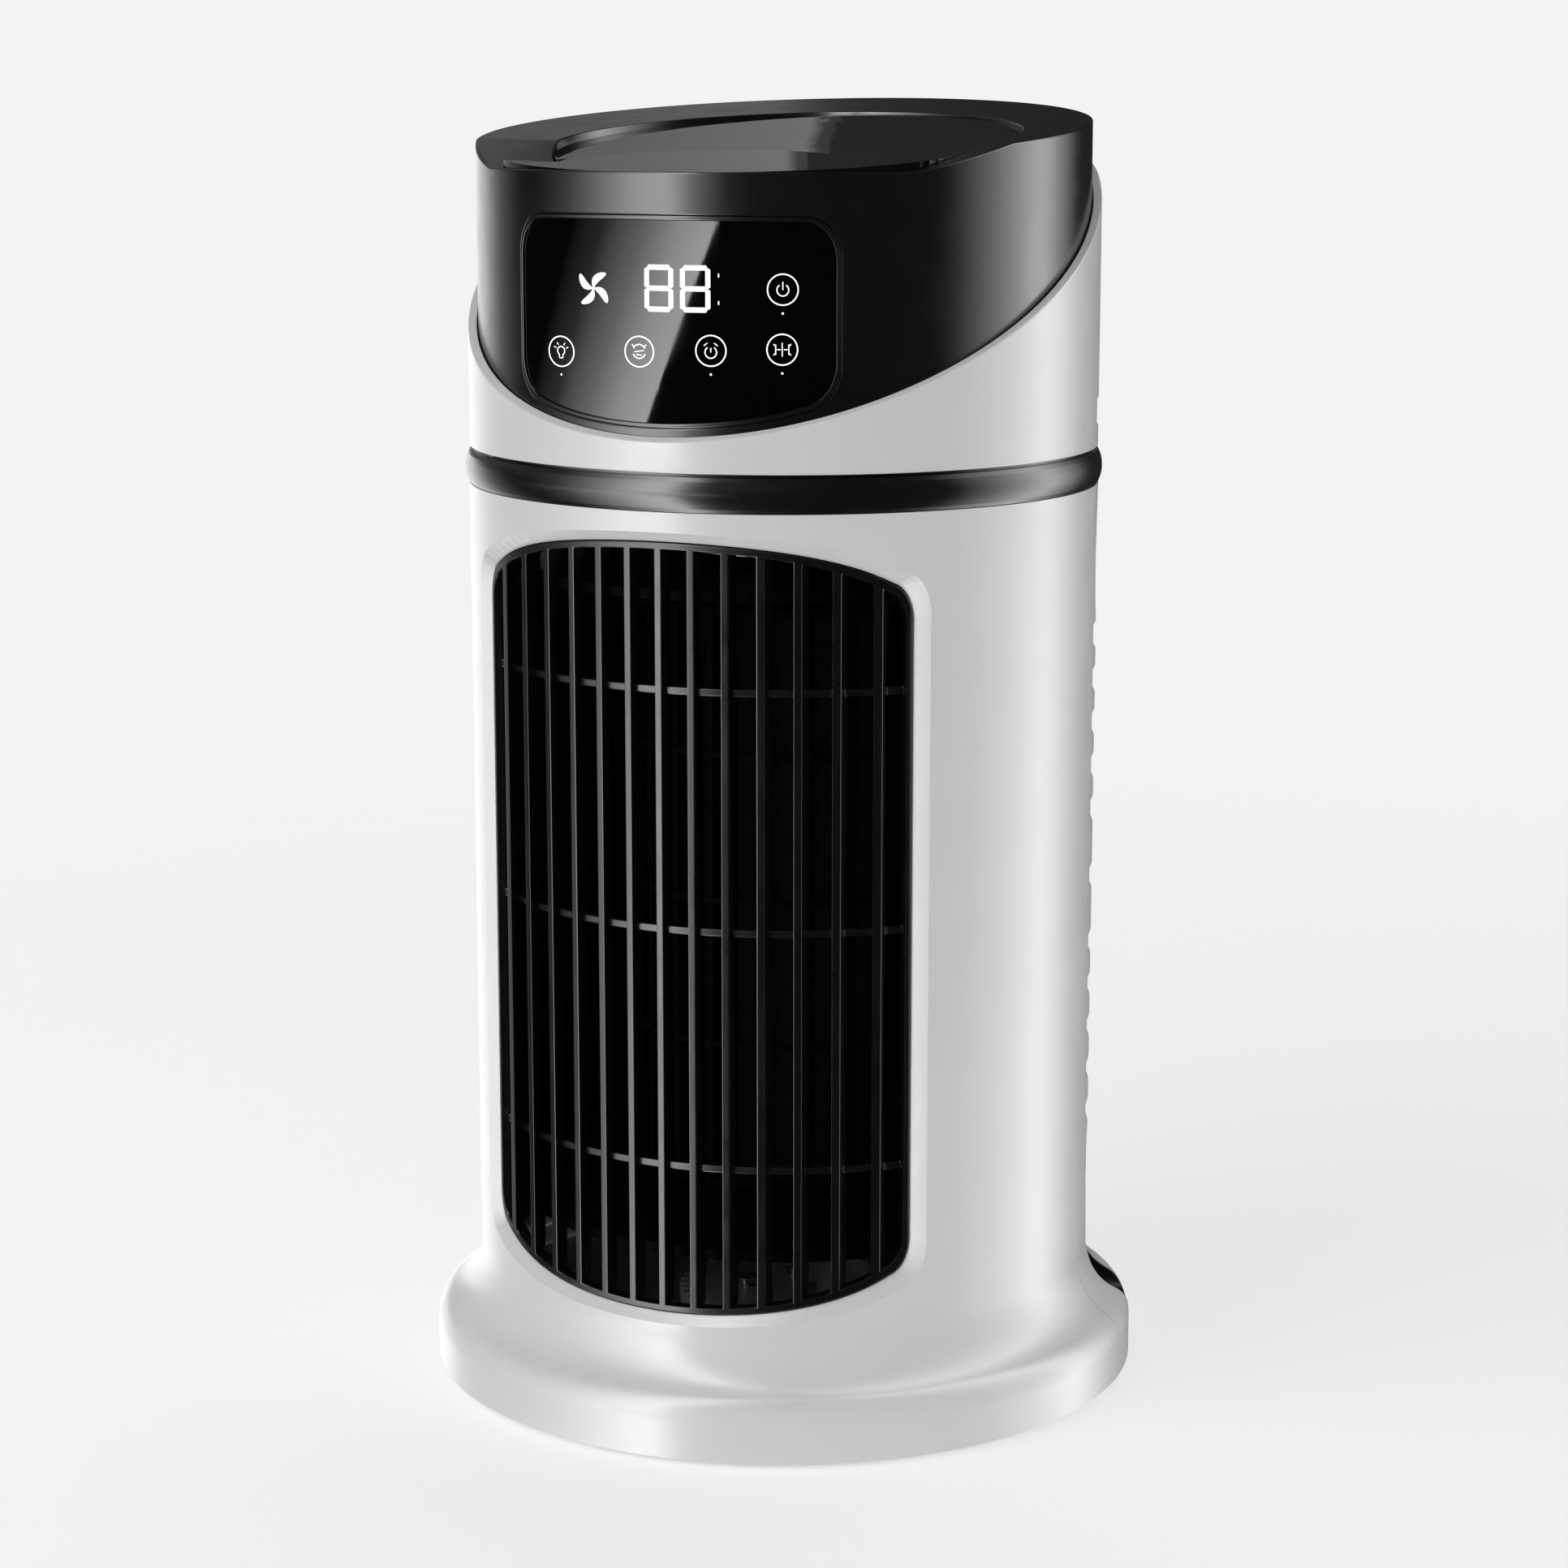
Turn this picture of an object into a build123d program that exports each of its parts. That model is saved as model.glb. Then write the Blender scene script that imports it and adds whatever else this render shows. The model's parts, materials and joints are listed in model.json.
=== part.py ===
from build123d import *
import os
from math import acos, cos, degrees, pi, radians, sin, sqrt, tan

# Tower fan. Millimetres. +Z up, the front faces -Y, the origin is on the floor under the axis.
# Angles round the body are measured from the front, positive towards +X.

# Overall sizes: the rest of the outside follows from the body's radius and height
BODY_R = 78.5
CASING_TOP_Z = 227.2
FLARE_REACH = 11.5
HEAD_STEP = 2.7
COLLAR_STEP = 0.2
WALL = 2.4
GAP = 0.25
SEAM_Y = 6.8

# Flare at the bottom of the casing
SKIRT_Z = 1.2
FLARE_EDGE_Z = 14.7
FLARE_SLOPE = 29.0
FLARE_ROUND = 7.3
FLARE_HOLLOW = 14.5

# Stack above the casing, each height measured from the piece below
RING_HEIGHT = 9.1
RING_BULGE = 1.1
RING_STEP = 1.4
RING_STEP_HEIGHT = 0.8
COLLAR_FRONT_HEIGHT = 7.0
COLLAR_WALL = 2.2
COLLAR_SLOPE = 27.6
COLLAR_BACK_HEIGHT = 73.0
COLLAR_BACK_SLOPE = 4.6
COLLAR_BLEND_R = 60.0
PANEL_ABOVE_COLLAR = 3.0
PANEL_HEIGHT = 48.7
LIP_ABOVE_PANEL = 9.65
RIM_RISE = 15.85

# Top rim of the head and its cover
RAMP_START = 0.695
RAMP_END = 0.39
RAMP_SLOPE = 15.0
RIM_THICK = 3.0
DISH_MARGIN = 19.3
DISH_X = 8.0
DISH_Y = -17.0
DISH_BALL_R = 1768.0
DISH_BALL_Y = -213.0
DISH_DROP = 22.0
COVER_SLOPE = 4.8
COVER_LIP = 0.35
COVER_THICK = 3.0
LEDGE = 2.5
LEDGE_THICK = 1.8

# Air outlet and grille
OUTLET_ANGLE = 45.8
OUTLET_LOW_Z = 32.9
OUTLET_BELOW_TOP = 7.0
OUTLET_BOW = 12.5
OUTLET_CORNER = 7.0
BEVEL_DEPTH = 2.0
BEVEL_WIDTH = 3.5
BEVEL_HEIGHT = 2.3
GRILLE_SINK = 1.6
GRILLE_DEPTH = 3.2
GRILLE_LIP = 1.8
SLAT_COUNT = 13
SLAT_MARGIN = 7.9
SLAT_WIDTH = 1.8
SLAT_DEPTH = 5.5
RIB_SHARES = (0.195, 0.505, 0.812)
RIB_THICK = 1.8
RIB_DEPTH = 3.0

# Rear intake: two banks of slots with a blind groove between them
SLOT_LOW_Z = 65.3
SLOT_BELOW_TOP = 38.5
SLOT_BANK_GAP = 17.3
SLOTS_PER_BANK = 5
SLOT_HEIGHT = 4.6
SLOT_BEVEL = 1.5
SLOT_SPANS = ((100.5, 147.5), (155.5, 204.5), (212.5, 259.5))
GRIP_ABOVE_RING = 8.4
GRIP_START = 102.0
FILTER_GAP = 0.2
FILTER_THICK = 1.0

# Control panel
PANEL_ANGLE = 32.4
PANEL_BOW = 7.0
PANEL_CORNER = 8.5
BEZEL_WIDTH = 1.1
BEZEL_PROUD = 0.3
GLASS_THICK = 1.8
GLASS_SINK = 0.2
TOUCH_COLUMNS = (-21.1, -3.7, 9.7, 22.2)
TOUCH_LOW = 18.3
POWER_TOUCH = (22.3, 32.2)
SPRING_BACK = 1.4
SPRING_R = 2.6
DIGITS_ANGLE = 3.5
DIGITS_SIZE = (22.0, 8.0, 15.0)
PANEL_BOARD_BACK = 16.4

# Swivel base
PLATE_INSET = 8.0
PLATE_LOW_Z = 1.6
PLATE_THICK = 2.6
FOOT_PAD_R = 8.0
FOOT_PAD_SINK = 1.0
FOOT_PAD_INSET = 16.0
FOOT_PAD_COUNT = 6
GLIDE_INSET = 12.0
GLIDE_WIDTH = 6.0
GLIDE_THICK = 1.0
TABLE_THICK = 2.6
TABLE_GAP = 1.0
HUB_R = 15.0
HUB_HEIGHT = 8.0
HUB_FIT = 0.06
HUB_WALL = 5.0
THRUST_THICK = 0.8
THRUST_GAP = 0.1

# Swing drive: a fixed gear on the hub and a pinion that walks round it
GEAR_MODULE = 1.25
GEAR_TEETH = 42
PINION_TEETH = 14
GEAR_THICK = 4.0
GEAR_BACKLASH = 0.3
PRESSURE_ANGLE = 20.0
TOOTH_RISE = 0.8
TOOTH_DROP = 1.1
SWING_SHAFT_R = 2.5
SWING_MOTOR_R = 14.0
SWING_MOTOR_HEIGHT = 18.0
SWING_MOTOR_OFFSET = 8.0
SWING_EAR_SPACING = 35.0
BRACKET_GAP = 3.0
BRACKET_THICK = 1.6

# Blower
DECK_LOW_Z = 44.0
DECK_BELOW_TOP = 22.2
DECK_THICK = 2.5
WHEEL_INSET = 34.1
WHEEL_RIM = 9.0
WHEEL_Y = 6.0
WHEEL_CLEAR = 6.0
BLADE_COUNT = 24
BLADE_THICK = 1.3
WHEEL_DISC = 1.8
WHEEL_RINGS = 3
SHAFT_R = 2.5
SHAFT_FIT = 0.05
BUSH_R = 6.0
GROMMET_R = 10.0
MOTOR_R = 32.0
MOTOR_HEIGHT = 17.0
MOTOR_WALL = 1.2
MOTOR_MOUNT_R = 26.0
MOTOR_EAR_THICK = 2.0
RUBBER_THICK = 3.0
SCROLL_THICK = 2.0
SCROLL_GAP = 3.0

# Head floor and main board
FLOOR_THICK = 2.4
BOARD_LIFT = 6.0
BOARD_THICK = 1.6

# Fasteners
SCREW_R = 1.5
SCREW_HEAD_R = 3.0
SCREW_HEAD = 2.2
BOSS_R = 3.6
CASING_SCREW_INSET = 9.5
WEB_THICK = 2.4
WEB_BACK_Y = 30.0

# Supply socket and loom
SOCKET_ANGLE = 114.0
SOCKET_Z = 19.0
SOCKET_R = 7.0
SOCKET_INSET = 16.0
SOCKET_LENGTH = 10.0
WELL_WALL = 1.5
JACK_R = 2.8
JACK_DEPTH = 9.0
JACK_PIN_R = 1.0
LOOM_R = 2.0
LOOM_ANGLE = 123.0
LOOM_INSET = 9.9

# Radii that follow from the sizes above
FOOT_R = BODY_R + FLARE_REACH
HEAD_R = BODY_R - HEAD_STEP
COLLAR_R = BODY_R - COLLAR_STEP
CASING_IN_R = BODY_R - WALL
HEAD_IN_R = HEAD_R - WALL
DISH_R = HEAD_R - DISH_MARGIN
GRILLE_R = BODY_R - GRILLE_SINK
PLATE_R = FOOT_R - PLATE_INSET
FOOT_PAD_RING_R = PLATE_R - FOOT_PAD_INSET
GLIDE_R = PLATE_R - GLIDE_INSET
TABLE_R = FOOT_R - WALL - TABLE_GAP
WHEEL_R = CASING_IN_R - WHEEL_INSET
WHEEL_HOLE_R = WHEEL_R - WHEEL_RIM
GEAR_R = GEAR_MODULE * GEAR_TEETH / 2
PINION_R = GEAR_MODULE * PINION_TEETH / 2
SOCKET_FACE_R = FOOT_R - SOCKET_INSET

# Heights that follow from the sizes above
RING_TOP_Z = CASING_TOP_Z + RING_HEIGHT
COLLAR_FRONT_Z = RING_TOP_Z + COLLAR_FRONT_HEIGHT
COLLAR_BACK_Z = RING_TOP_Z + COLLAR_BACK_HEIGHT
PANEL_LOW_Z = COLLAR_FRONT_Z + PANEL_ABOVE_COLLAR
PANEL_HIGH_Z = PANEL_LOW_Z + PANEL_HEIGHT
LIP_Z = PANEL_HIGH_Z + LIP_ABOVE_PANEL
HEIGHT = LIP_Z + RIM_RISE
OUTLET_HIGH_Z = CASING_TOP_Z - OUTLET_BELOW_TOP
RIB_HEIGHTS = [OUTLET_LOW_Z + share * (OUTLET_HIGH_Z - OUTLET_LOW_Z) for share in RIB_SHARES]
SLOT_HIGH_Z = CASING_TOP_Z - SLOT_BELOW_TOP
SLOT_PITCH = (SLOT_HIGH_Z - SLOT_LOW_Z - 2 * SLOT_BANK_GAP) / (2 * SLOTS_PER_BANK - 2)
SLOT_MID_Z = (SLOT_LOW_Z + SLOT_HIGH_Z) / 2
SLOT_UPPER_Z = SLOT_MID_Z + SLOT_BANK_GAP
GRIP_Z = RING_TOP_Z + GRIP_ABOVE_RING
PLATE_TOP_Z = PLATE_LOW_Z + PLATE_THICK
TABLE_LOW_Z = PLATE_TOP_Z + GLIDE_THICK
TABLE_TOP_Z = TABLE_LOW_Z + TABLE_THICK
HUB_TOP_Z = PLATE_TOP_Z + HUB_HEIGHT
GEAR_TOP_Z = HUB_TOP_Z + GEAR_THICK
BRACKET_Z = GEAR_TOP_Z + BRACKET_GAP
SWING_SEAT_Z = BRACKET_Z + BRACKET_THICK
DECK_FLOOR_Z = DECK_LOW_Z + DECK_THICK
DECK_HIGH_Z = CASING_TOP_Z - DECK_BELOW_TOP
DECK_TOP_Z = DECK_HIGH_Z + DECK_THICK
WHEEL_LOW_Z = DECK_FLOOR_Z + WHEEL_CLEAR
WHEEL_HIGH_Z = DECK_HIGH_Z - WHEEL_CLEAR
MOTOR_LOW_Z = DECK_TOP_Z + RUBBER_THICK
MOTOR_TOP_Z = MOTOR_LOW_Z + MOTOR_HEIGHT
FLOOR_TOP_Z = RING_TOP_Z
FLOOR_Z = FLOOR_TOP_Z - FLOOR_THICK
BOARD_Z = FLOOR_TOP_Z + BOARD_LIFT

# Places that follow from the sizes above
SLAT_REACH = BODY_R * sin(radians(OUTLET_ANGLE)) - SLAT_MARGIN
SLAT_PITCH = 2 * SLAT_REACH / (SLAT_COUNT - 1)
CASING_SCREW_X = BODY_R - CASING_SCREW_INSET
CASING_SCREW_ZS = (DECK_LOW_Z + 10.0, SLOT_MID_Z + SLOT_BANK_GAP / 2, CASING_TOP_Z - 27.2)
PINION_Y = GEAR_R + PINION_R
SWING_MOTOR_Y = PINION_Y + SWING_MOTOR_OFFSET
PANEL_BOARD_Y = PANEL_BOARD_BACK - HEAD_IN_R
TOUCH_PLACES = [(angle, PANEL_LOW_Z + TOUCH_LOW) for angle in TOUCH_COLUMNS]
TOUCH_PLACES.append((POWER_TOUCH[0], PANEL_LOW_Z + POWER_TOUCH[1]))

STAND = (Align.CENTER, Align.CENTER, Align.MIN)
BIG = 2.0 * HEIGHT
LOOM_RISE = (
    (CASING_IN_R - LOOM_INSET) * sin(radians(LOOM_ANGLE)),
    -(CASING_IN_R - LOOM_INSET) * cos(radians(LOOM_ANGLE)),
)


def rod(radius, low, high, x=0.0, y=0.0):
    """Upright cylinder between two heights."""
    return Pos(x, y, low) * Cylinder(radius, high - low, align=STAND)


def tube(outer, inner, low, high, x=0.0, y=0.0):
    """Upright cylinder with a hole down its middle."""
    return rod(outer, low, high, x, y) - rod(inner, low, high, x, y)


def block(x_span, y_span, z_span):
    """Box between two corners, given as three (low, high) pairs."""
    size = [high - low for low, high in (x_span, y_span, z_span)]
    middle = [(high + low) / 2 for low, high in (x_span, y_span, z_span)]
    return Pos(*middle) * Box(*size)


def around(radius, angle):
    """Point on a circle about the axis; the angle is measured from the front."""
    return radius * sin(radians(angle)), -radius * cos(radians(angle))


def side_prism(edge):
    """Solid through the whole width whose side view is the closed outline."""
    return extrude(Plane.YZ * make_face(edge), amount=BIG, both=True)


def save(node, shape):
    """Write one node; a list is a group of separate solids."""
    if isinstance(shape, (list, tuple)):
        shape = Compound(children=[solid for item in shape for solid in item.solids()])
    export_step(shape, "parts/" + node + ".step")


def screw(x, y, low, length, up=True):
    """Upright pan-head screw; its head is above the shank unless up is false."""
    shank_low = low if up else low + SCREW_HEAD
    head_low = low + length if up else low
    shank = rod(SCREW_R, shank_low, shank_low + length, x, y)
    return shank + rod(SCREW_HEAD_R, head_low, head_low + SCREW_HEAD, x, y)


# ---------------------------------------------------------------- outlines

def radial_face(half_angle, low, high, bow_low, bow_high, corner, skin_r, depth):
    """Opening outline at one depth in front of the axis, drawn so that its sides aim at the axis."""
    side_depth = skin_r * cos(radians(half_angle))
    stretch = depth / side_depth
    reach = skin_r * sin(radians(half_angle))
    turn = reach - corner
    share = (turn / reach) ** 2
    half = sqrt(0.5)
    top_z, top_side = high - bow_high * share, high - bow_high - corner
    low_z, low_side = low + bow_low * share, low + bow_low + corner
    mid_x = (turn + corner * half) * stretch
    top_mid = top_side + (top_z - top_side) * half
    low_mid = low_side - (low_side - low_z) * half
    turn_x, reach_x = turn * stretch, reach * stretch
    edges = [
        ThreePointArc((-turn_x, top_z), (0, high), (turn_x, top_z)),
        ThreePointArc((turn_x, top_z), (mid_x, top_mid), (reach_x, top_side)),
        Line((reach_x, top_side), (reach_x, low_side)),
        ThreePointArc((reach_x, low_side), (mid_x, low_mid), (turn_x, low_z)),
        ThreePointArc((turn_x, low_z), (0, low), (-turn_x, low_z)),
        ThreePointArc((-turn_x, low_z), (-mid_x, low_mid), (-reach_x, low_side)),
        Line((-reach_x, low_side), (-reach_x, top_side)),
        ThreePointArc((-reach_x, top_side), (-mid_x, top_mid), (-turn_x, top_z)),
    ]
    front = Plane(origin=(0, -depth, 0), x_dir=(1, 0, 0), z_dir=(0, -1, 0))
    return front * make_face(edges)


def radial_prism(half_angle, low, high, bow_low, bow_high, corner, skin_r):
    """Solid through the front skin whose edges all point at the axis."""
    near = radial_face(half_angle, low, high, bow_low, bow_high, corner, skin_r, skin_r * 0.45)
    far = radial_face(half_angle, low, high, bow_low, bow_high, corner, skin_r, skin_r * 1.25)
    return loft([near, far], ruled=True)


def outlet_prism(inset):
    """Outline of the air outlet, drawn in by a margin."""
    angle = OUTLET_ANGLE - degrees(inset / CASING_IN_R)
    corner = OUTLET_CORNER - inset * 0.5
    low, high = OUTLET_LOW_Z + inset, OUTLET_HIGH_Z - inset
    return radial_prism(angle, low, high, OUTLET_BOW, OUTLET_BOW, corner, BODY_R)


def panel_prism(inset):
    """Outline of the control panel, drawn in by a margin."""
    angle = PANEL_ANGLE - degrees(inset / HEAD_R)
    corner = PANEL_CORNER - inset * 0.5
    low, high = PANEL_LOW_Z + inset, PANEL_HIGH_Z - inset
    return radial_prism(angle, low, high, PANEL_BOW, 0.6, corner, HEAD_R)


def casing_profile(inset):
    """Half section of the flare and body, drawn in by a margin from the outside."""
    drop = tan(radians((90 - FLARE_SLOPE) / 2)) * inset
    slope_run = (FOOT_R - BODY_R) * tan(radians(FLARE_SLOPE))
    corners = [
        (FOOT_R - inset, SKIRT_Z),
        (FOOT_R - inset, FLARE_EDGE_Z - drop),
        (BODY_R - inset, FLARE_EDGE_Z + slope_run - drop),
        (BODY_R - inset, CASING_TOP_Z),
    ]
    outside = FilletPolyline(*corners, radius=[FLARE_ROUND - inset, FLARE_HOLLOW + inset])
    inside = Polyline(corners[-1], (0, CASING_TOP_Z), (0, SKIRT_Z), corners[0])
    return Plane.XZ * make_face([outside, inside])


def casing_solid(inset):
    """Flare and body as one solid of revolution."""
    return revolve(casing_profile(inset), axis=Axis.Z)


def rim_line(drop):
    """Side view of the head's top edge, lowered by a drop, as points from front to back."""
    ramp_y = -RAMP_START * HEAD_R
    back_y = -RAMP_END * HEAD_R
    ramp_z = LIP_Z + (back_y - ramp_y) * tan(radians(RAMP_SLOPE))
    slope = (HEIGHT - ramp_z) / (HEAD_R - back_y)
    past = HEAD_R * 0.1
    return [
        (-HEAD_R - past, LIP_Z - drop),
        (ramp_y, LIP_Z - drop),
        (back_y, ramp_z - drop),
        (HEAD_R + past, HEIGHT + slope * past - drop),
    ]


def under_line(points, low):
    """Solid below a side-view line, down to a height."""
    outline = points + [(points[-1][0], low), (points[0][0], low)]
    return side_prism(Polyline(*outline, close=True))


# ---------------------------------------------------------------- swivel base

def foot_plate():
    """Flat disc with the hub that the fan turns on and pockets for its pads."""
    plate = rod(PLATE_R, PLATE_LOW_Z, PLATE_TOP_Z)
    plate = chamfer(plate.edges().group_by(Axis.Z)[0], 0.8)
    plate += rod(HUB_R, PLATE_TOP_Z, HUB_TOP_Z)
    inner = GLIDE_R - GLIDE_WIDTH
    plate += tube(inner - GAP, inner - 2.0, PLATE_TOP_Z, PLATE_TOP_Z + 0.7 * GLIDE_THICK)
    for x, y in foot_places():
        plate -= rod(FOOT_PAD_R + 0.05, PLATE_LOW_Z, PLATE_LOW_Z + FOOT_PAD_SINK, x, y)
    for x, y in gear_screw_places():
        plate -= rod(SCREW_R, HUB_TOP_Z - 6.5, HUB_TOP_Z, x, y)
    return plate


def foot_places():
    """Centres of the rubber pads."""
    return [around(FOOT_PAD_RING_R, 30 + 360 * k / FOOT_PAD_COUNT) for k in range(FOOT_PAD_COUNT)]


def gear_screw_places():
    """Centres of the screws that hold the fixed gear on the hub."""
    return [around(HUB_R * 0.62, 60 + 120 * k) for k in range(3)]


def rubber_feet():
    """Round pads that stand in the plate's pockets and reach the floor."""
    feet = []
    for x, y in foot_places():
        pad = rod(FOOT_PAD_R, 0, PLATE_LOW_Z + FOOT_PAD_SINK, x, y)
        feet.append(chamfer(pad.edges().group_by(Axis.Z)[0], 0.4))
    return feet


def gear_face(teeth, turn):
    """Involute spur gear outline with the middle of one tooth at the turn angle."""
    pitch_r = GEAR_MODULE * teeth / 2
    base_r = pitch_r * cos(radians(PRESSURE_ANGLE))
    tip_r = pitch_r + TOOTH_RISE * GEAR_MODULE
    root_r = pitch_r - TOOTH_DROP * GEAR_MODULE
    roll = tan(radians(PRESSURE_ANGLE)) - radians(PRESSURE_ANGLE)
    half_pitch = pi / (2 * teeth) - GEAR_BACKLASH / (4 * pitch_r)
    start_r = max(base_r, root_r)
    flank = [(root_r, half_pitch + roll)] if root_r < base_r else []
    for step in range(5):
        radius = start_r + (tip_r - start_r) * step / 4
        lean = acos(min(1.0, base_r / radius))
        flank.append((radius, half_pitch + roll - (tan(lean) - lean)))
    points = []
    for k in range(teeth):
        middle = radians(turn) + 2 * pi * k / teeth
        points += [(r * cos(middle - a), r * sin(middle - a)) for r, a in flank]
        points += [(r * cos(middle + a), r * sin(middle + a)) for r, a in reversed(flank)]
    return make_face(Polyline(*points, close=True))


def swing_gear():
    """Fixed gear that is screwed to the hub and holds the turntable down."""
    gear = Pos(0, 0, HUB_TOP_Z) * extrude(gear_face(GEAR_TEETH, 90), amount=GEAR_THICK)
    for x, y in gear_screw_places():
        gear -= rod(SCREW_R, HUB_TOP_Z, GEAR_TOP_Z, x, y)
    return gear


def gear_screws():
    """Screws through the fixed gear into the hub."""
    return [screw(x, y, HUB_TOP_Z - 6.0, 6.0 + GEAR_THICK) for x, y in gear_screw_places()]


def thrust_washer():
    """Thin ring between the turntable's boss and the fixed gear."""
    return tube(HUB_R + HUB_WALL - 0.5, HUB_R + 0.1, HUB_TOP_Z - THRUST_THICK, HUB_TOP_Z)


def glide_ring():
    """Low-friction ring that carries the turntable."""
    return tube(GLIDE_R, GLIDE_R - GLIDE_WIDTH, PLATE_TOP_Z, TABLE_LOW_Z)


# ---------------------------------------------------------------- turntable and swing drive

def leg_places():
    """Centres of the two legs of the swing motor's bracket."""
    spread = SWING_EAR_SPACING / 2 + 7.0
    return [(side * spread, SWING_MOTOR_Y) for side in (-1, 1)]


def turntable():
    """Bottom plate of the casing, with a boss that turns on the hub."""
    plate = rod(TABLE_R, TABLE_LOW_Z, TABLE_TOP_Z)
    plate += rod(HUB_R + HUB_WALL, TABLE_LOW_Z, HUB_TOP_Z - THRUST_THICK - THRUST_GAP)
    plate -= rod(HUB_R + HUB_FIT, TABLE_LOW_Z, HUB_TOP_Z)
    for x, y in leg_places():
        plate += rod(BOSS_R, TABLE_TOP_Z, BRACKET_Z, x, y)
        plate -= rod(SCREW_R, BRACKET_Z - 8.0, BRACKET_Z, x, y)
    for x, y in table_screw_places():
        plate -= rod(SCREW_R + 0.3, TABLE_LOW_Z, TABLE_TOP_Z, x, y)
    return plate


def table_screw_places():
    """Centres of the screws that hold the turntable to the casing."""
    return [around(TABLE_R - 7.0, 45 + 90 * k) for k in range(4)]


def table_screws():
    """Flat screws up through the turntable into the casing's bosses."""
    screws = []
    for x, y in table_screw_places():
        shank = rod(SCREW_R, TABLE_LOW_Z + 0.1, TABLE_TOP_Z + 5.0, x, y)
        screws.append(shank)
    return screws


def swing_bracket():
    """Sheet bridge that carries the swing motor over the gear."""
    places = leg_places()
    reach = places[1][0] + 5.0
    y_mid = places[0][1]
    sheet = block((-reach, reach), (y_mid - 11.0, y_mid + 11.0), (BRACKET_Z, SWING_SEAT_Z))
    sheet = fillet(sheet.edges().filter_by(Axis.Z), 3.0)
    sheet -= rod(SWING_SHAFT_R + 2.0, BRACKET_Z, SWING_SEAT_Z, 0, PINION_Y)
    for x, y in places:
        sheet -= rod(SCREW_R + 0.2, BRACKET_Z, SWING_SEAT_Z, x, y)
    for side in (-1, 1):
        x = side * SWING_EAR_SPACING / 2
        sheet -= rod(SCREW_R, BRACKET_Z, SWING_SEAT_Z, x, y_mid)
    return sheet


def swing_motor():
    """Small geared motor: round can, two ears and a wire box."""
    y_mid = SWING_MOTOR_Y
    seat = SWING_SEAT_Z
    can = rod(SWING_MOTOR_R, seat, seat + SWING_MOTOR_HEIGHT, 0, y_mid)
    can = fillet(can.edges().group_by(Axis.Z)[-1], 1.0)
    reach = SWING_EAR_SPACING / 2
    ears = block((-reach, reach), (y_mid - 3.5, y_mid + 3.5), (seat, seat + 1.0))
    for side in (-1, 1):
        ears += rod(3.5, seat, seat + 1.0, side * SWING_EAR_SPACING / 2, y_mid)
    back = y_mid + SWING_MOTOR_R + 3.0
    wire_box = block((-7.5, 7.5), (y_mid, back), (seat + 2.0, seat + SWING_MOTOR_HEIGHT - 2.0))
    motor = can + ears + wire_box
    for side in (-1, 1):
        motor -= rod(SCREW_R, seat, seat + 1.0, side * SWING_EAR_SPACING / 2, y_mid)
    motor -= rod(SWING_SHAFT_R + 0.05, seat, seat + 8.0, 0, PINION_Y)
    return motor


def swing_screws():
    """Screws of the bracket's legs and of the swing motor's ears."""
    seat = SWING_SEAT_Z
    screws = [screw(x, y, BRACKET_Z - 7.5, 7.5 + BRACKET_THICK) for x, y in leg_places()]
    y_mid = SWING_MOTOR_Y
    for side in (-1, 1):
        screws.append(screw(side * SWING_EAR_SPACING / 2, y_mid, BRACKET_Z - 1.5, 1.5 + BRACKET_THICK + 1.0))
    return screws


def swing_pinion():
    """Pinion and its shaft, in mesh with the fixed gear."""
    seat = SWING_SEAT_Z
    half_tooth = 180 / PINION_TEETH
    teeth = extrude(gear_face(PINION_TEETH, 270 + half_tooth), amount=GEAR_THICK - 0.2)
    pinion = Pos(0, PINION_Y, HUB_TOP_Z + 0.1) * teeth
    pinion += rod(SWING_SHAFT_R + 1.5, GEAR_TOP_Z - 0.1, BRACKET_Z - 0.5, 0, PINION_Y)
    pinion += rod(SWING_SHAFT_R, BRACKET_Z - 0.5, seat + 7.5, 0, PINION_Y)
    return pinion


# ---------------------------------------------------------------- casing

def casing_shell():
    """Hollow flare and body, before it is parted into front and rear."""
    shell = casing_solid(0) - casing_solid(WALL)
    shell += tube(CASING_IN_R + 0.5, CASING_IN_R - 3.0, DECK_LOW_Z - 2.0, DECK_LOW_Z)
    for k, (x, y) in enumerate(table_screw_places()):
        post = rod(BOSS_R, TABLE_TOP_Z, TABLE_TOP_Z + 26.0, x, y) & casing_solid(WALL / 2)
        shell += post - rod(SCREW_R, TABLE_TOP_Z, TABLE_TOP_Z + 6.0, x, y)
    return shell


def front_half():
    """Space in front of the seam."""
    return block((-BIG, BIG), (-BIG, SEAM_Y - GAP / 2), (-BIG, BIG))


def rear_half():
    """Space behind the seam."""
    return block((-BIG, BIG), (SEAM_Y + GAP / 2, BIG), (-BIG, BIG))


def casing_boss(x, y_from, y_to, z, radius):
    """Horizontal cylinder from front to back."""
    return Pos(x, y_from, z) * Rot(-90, 0, 0) * Cylinder(radius, y_to - y_from, align=STAND)


def casing_web(side, y_from, y_to, z, room=0.0):
    """Flat web between a screw boss and the casing's wall, or the room it needs."""
    span = sorted((side * CASING_SCREW_X, side * BODY_R))
    half = WEB_THICK / 2 + room
    return block(span, (y_from - room, y_to + room), (z - half, z + half))


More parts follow.
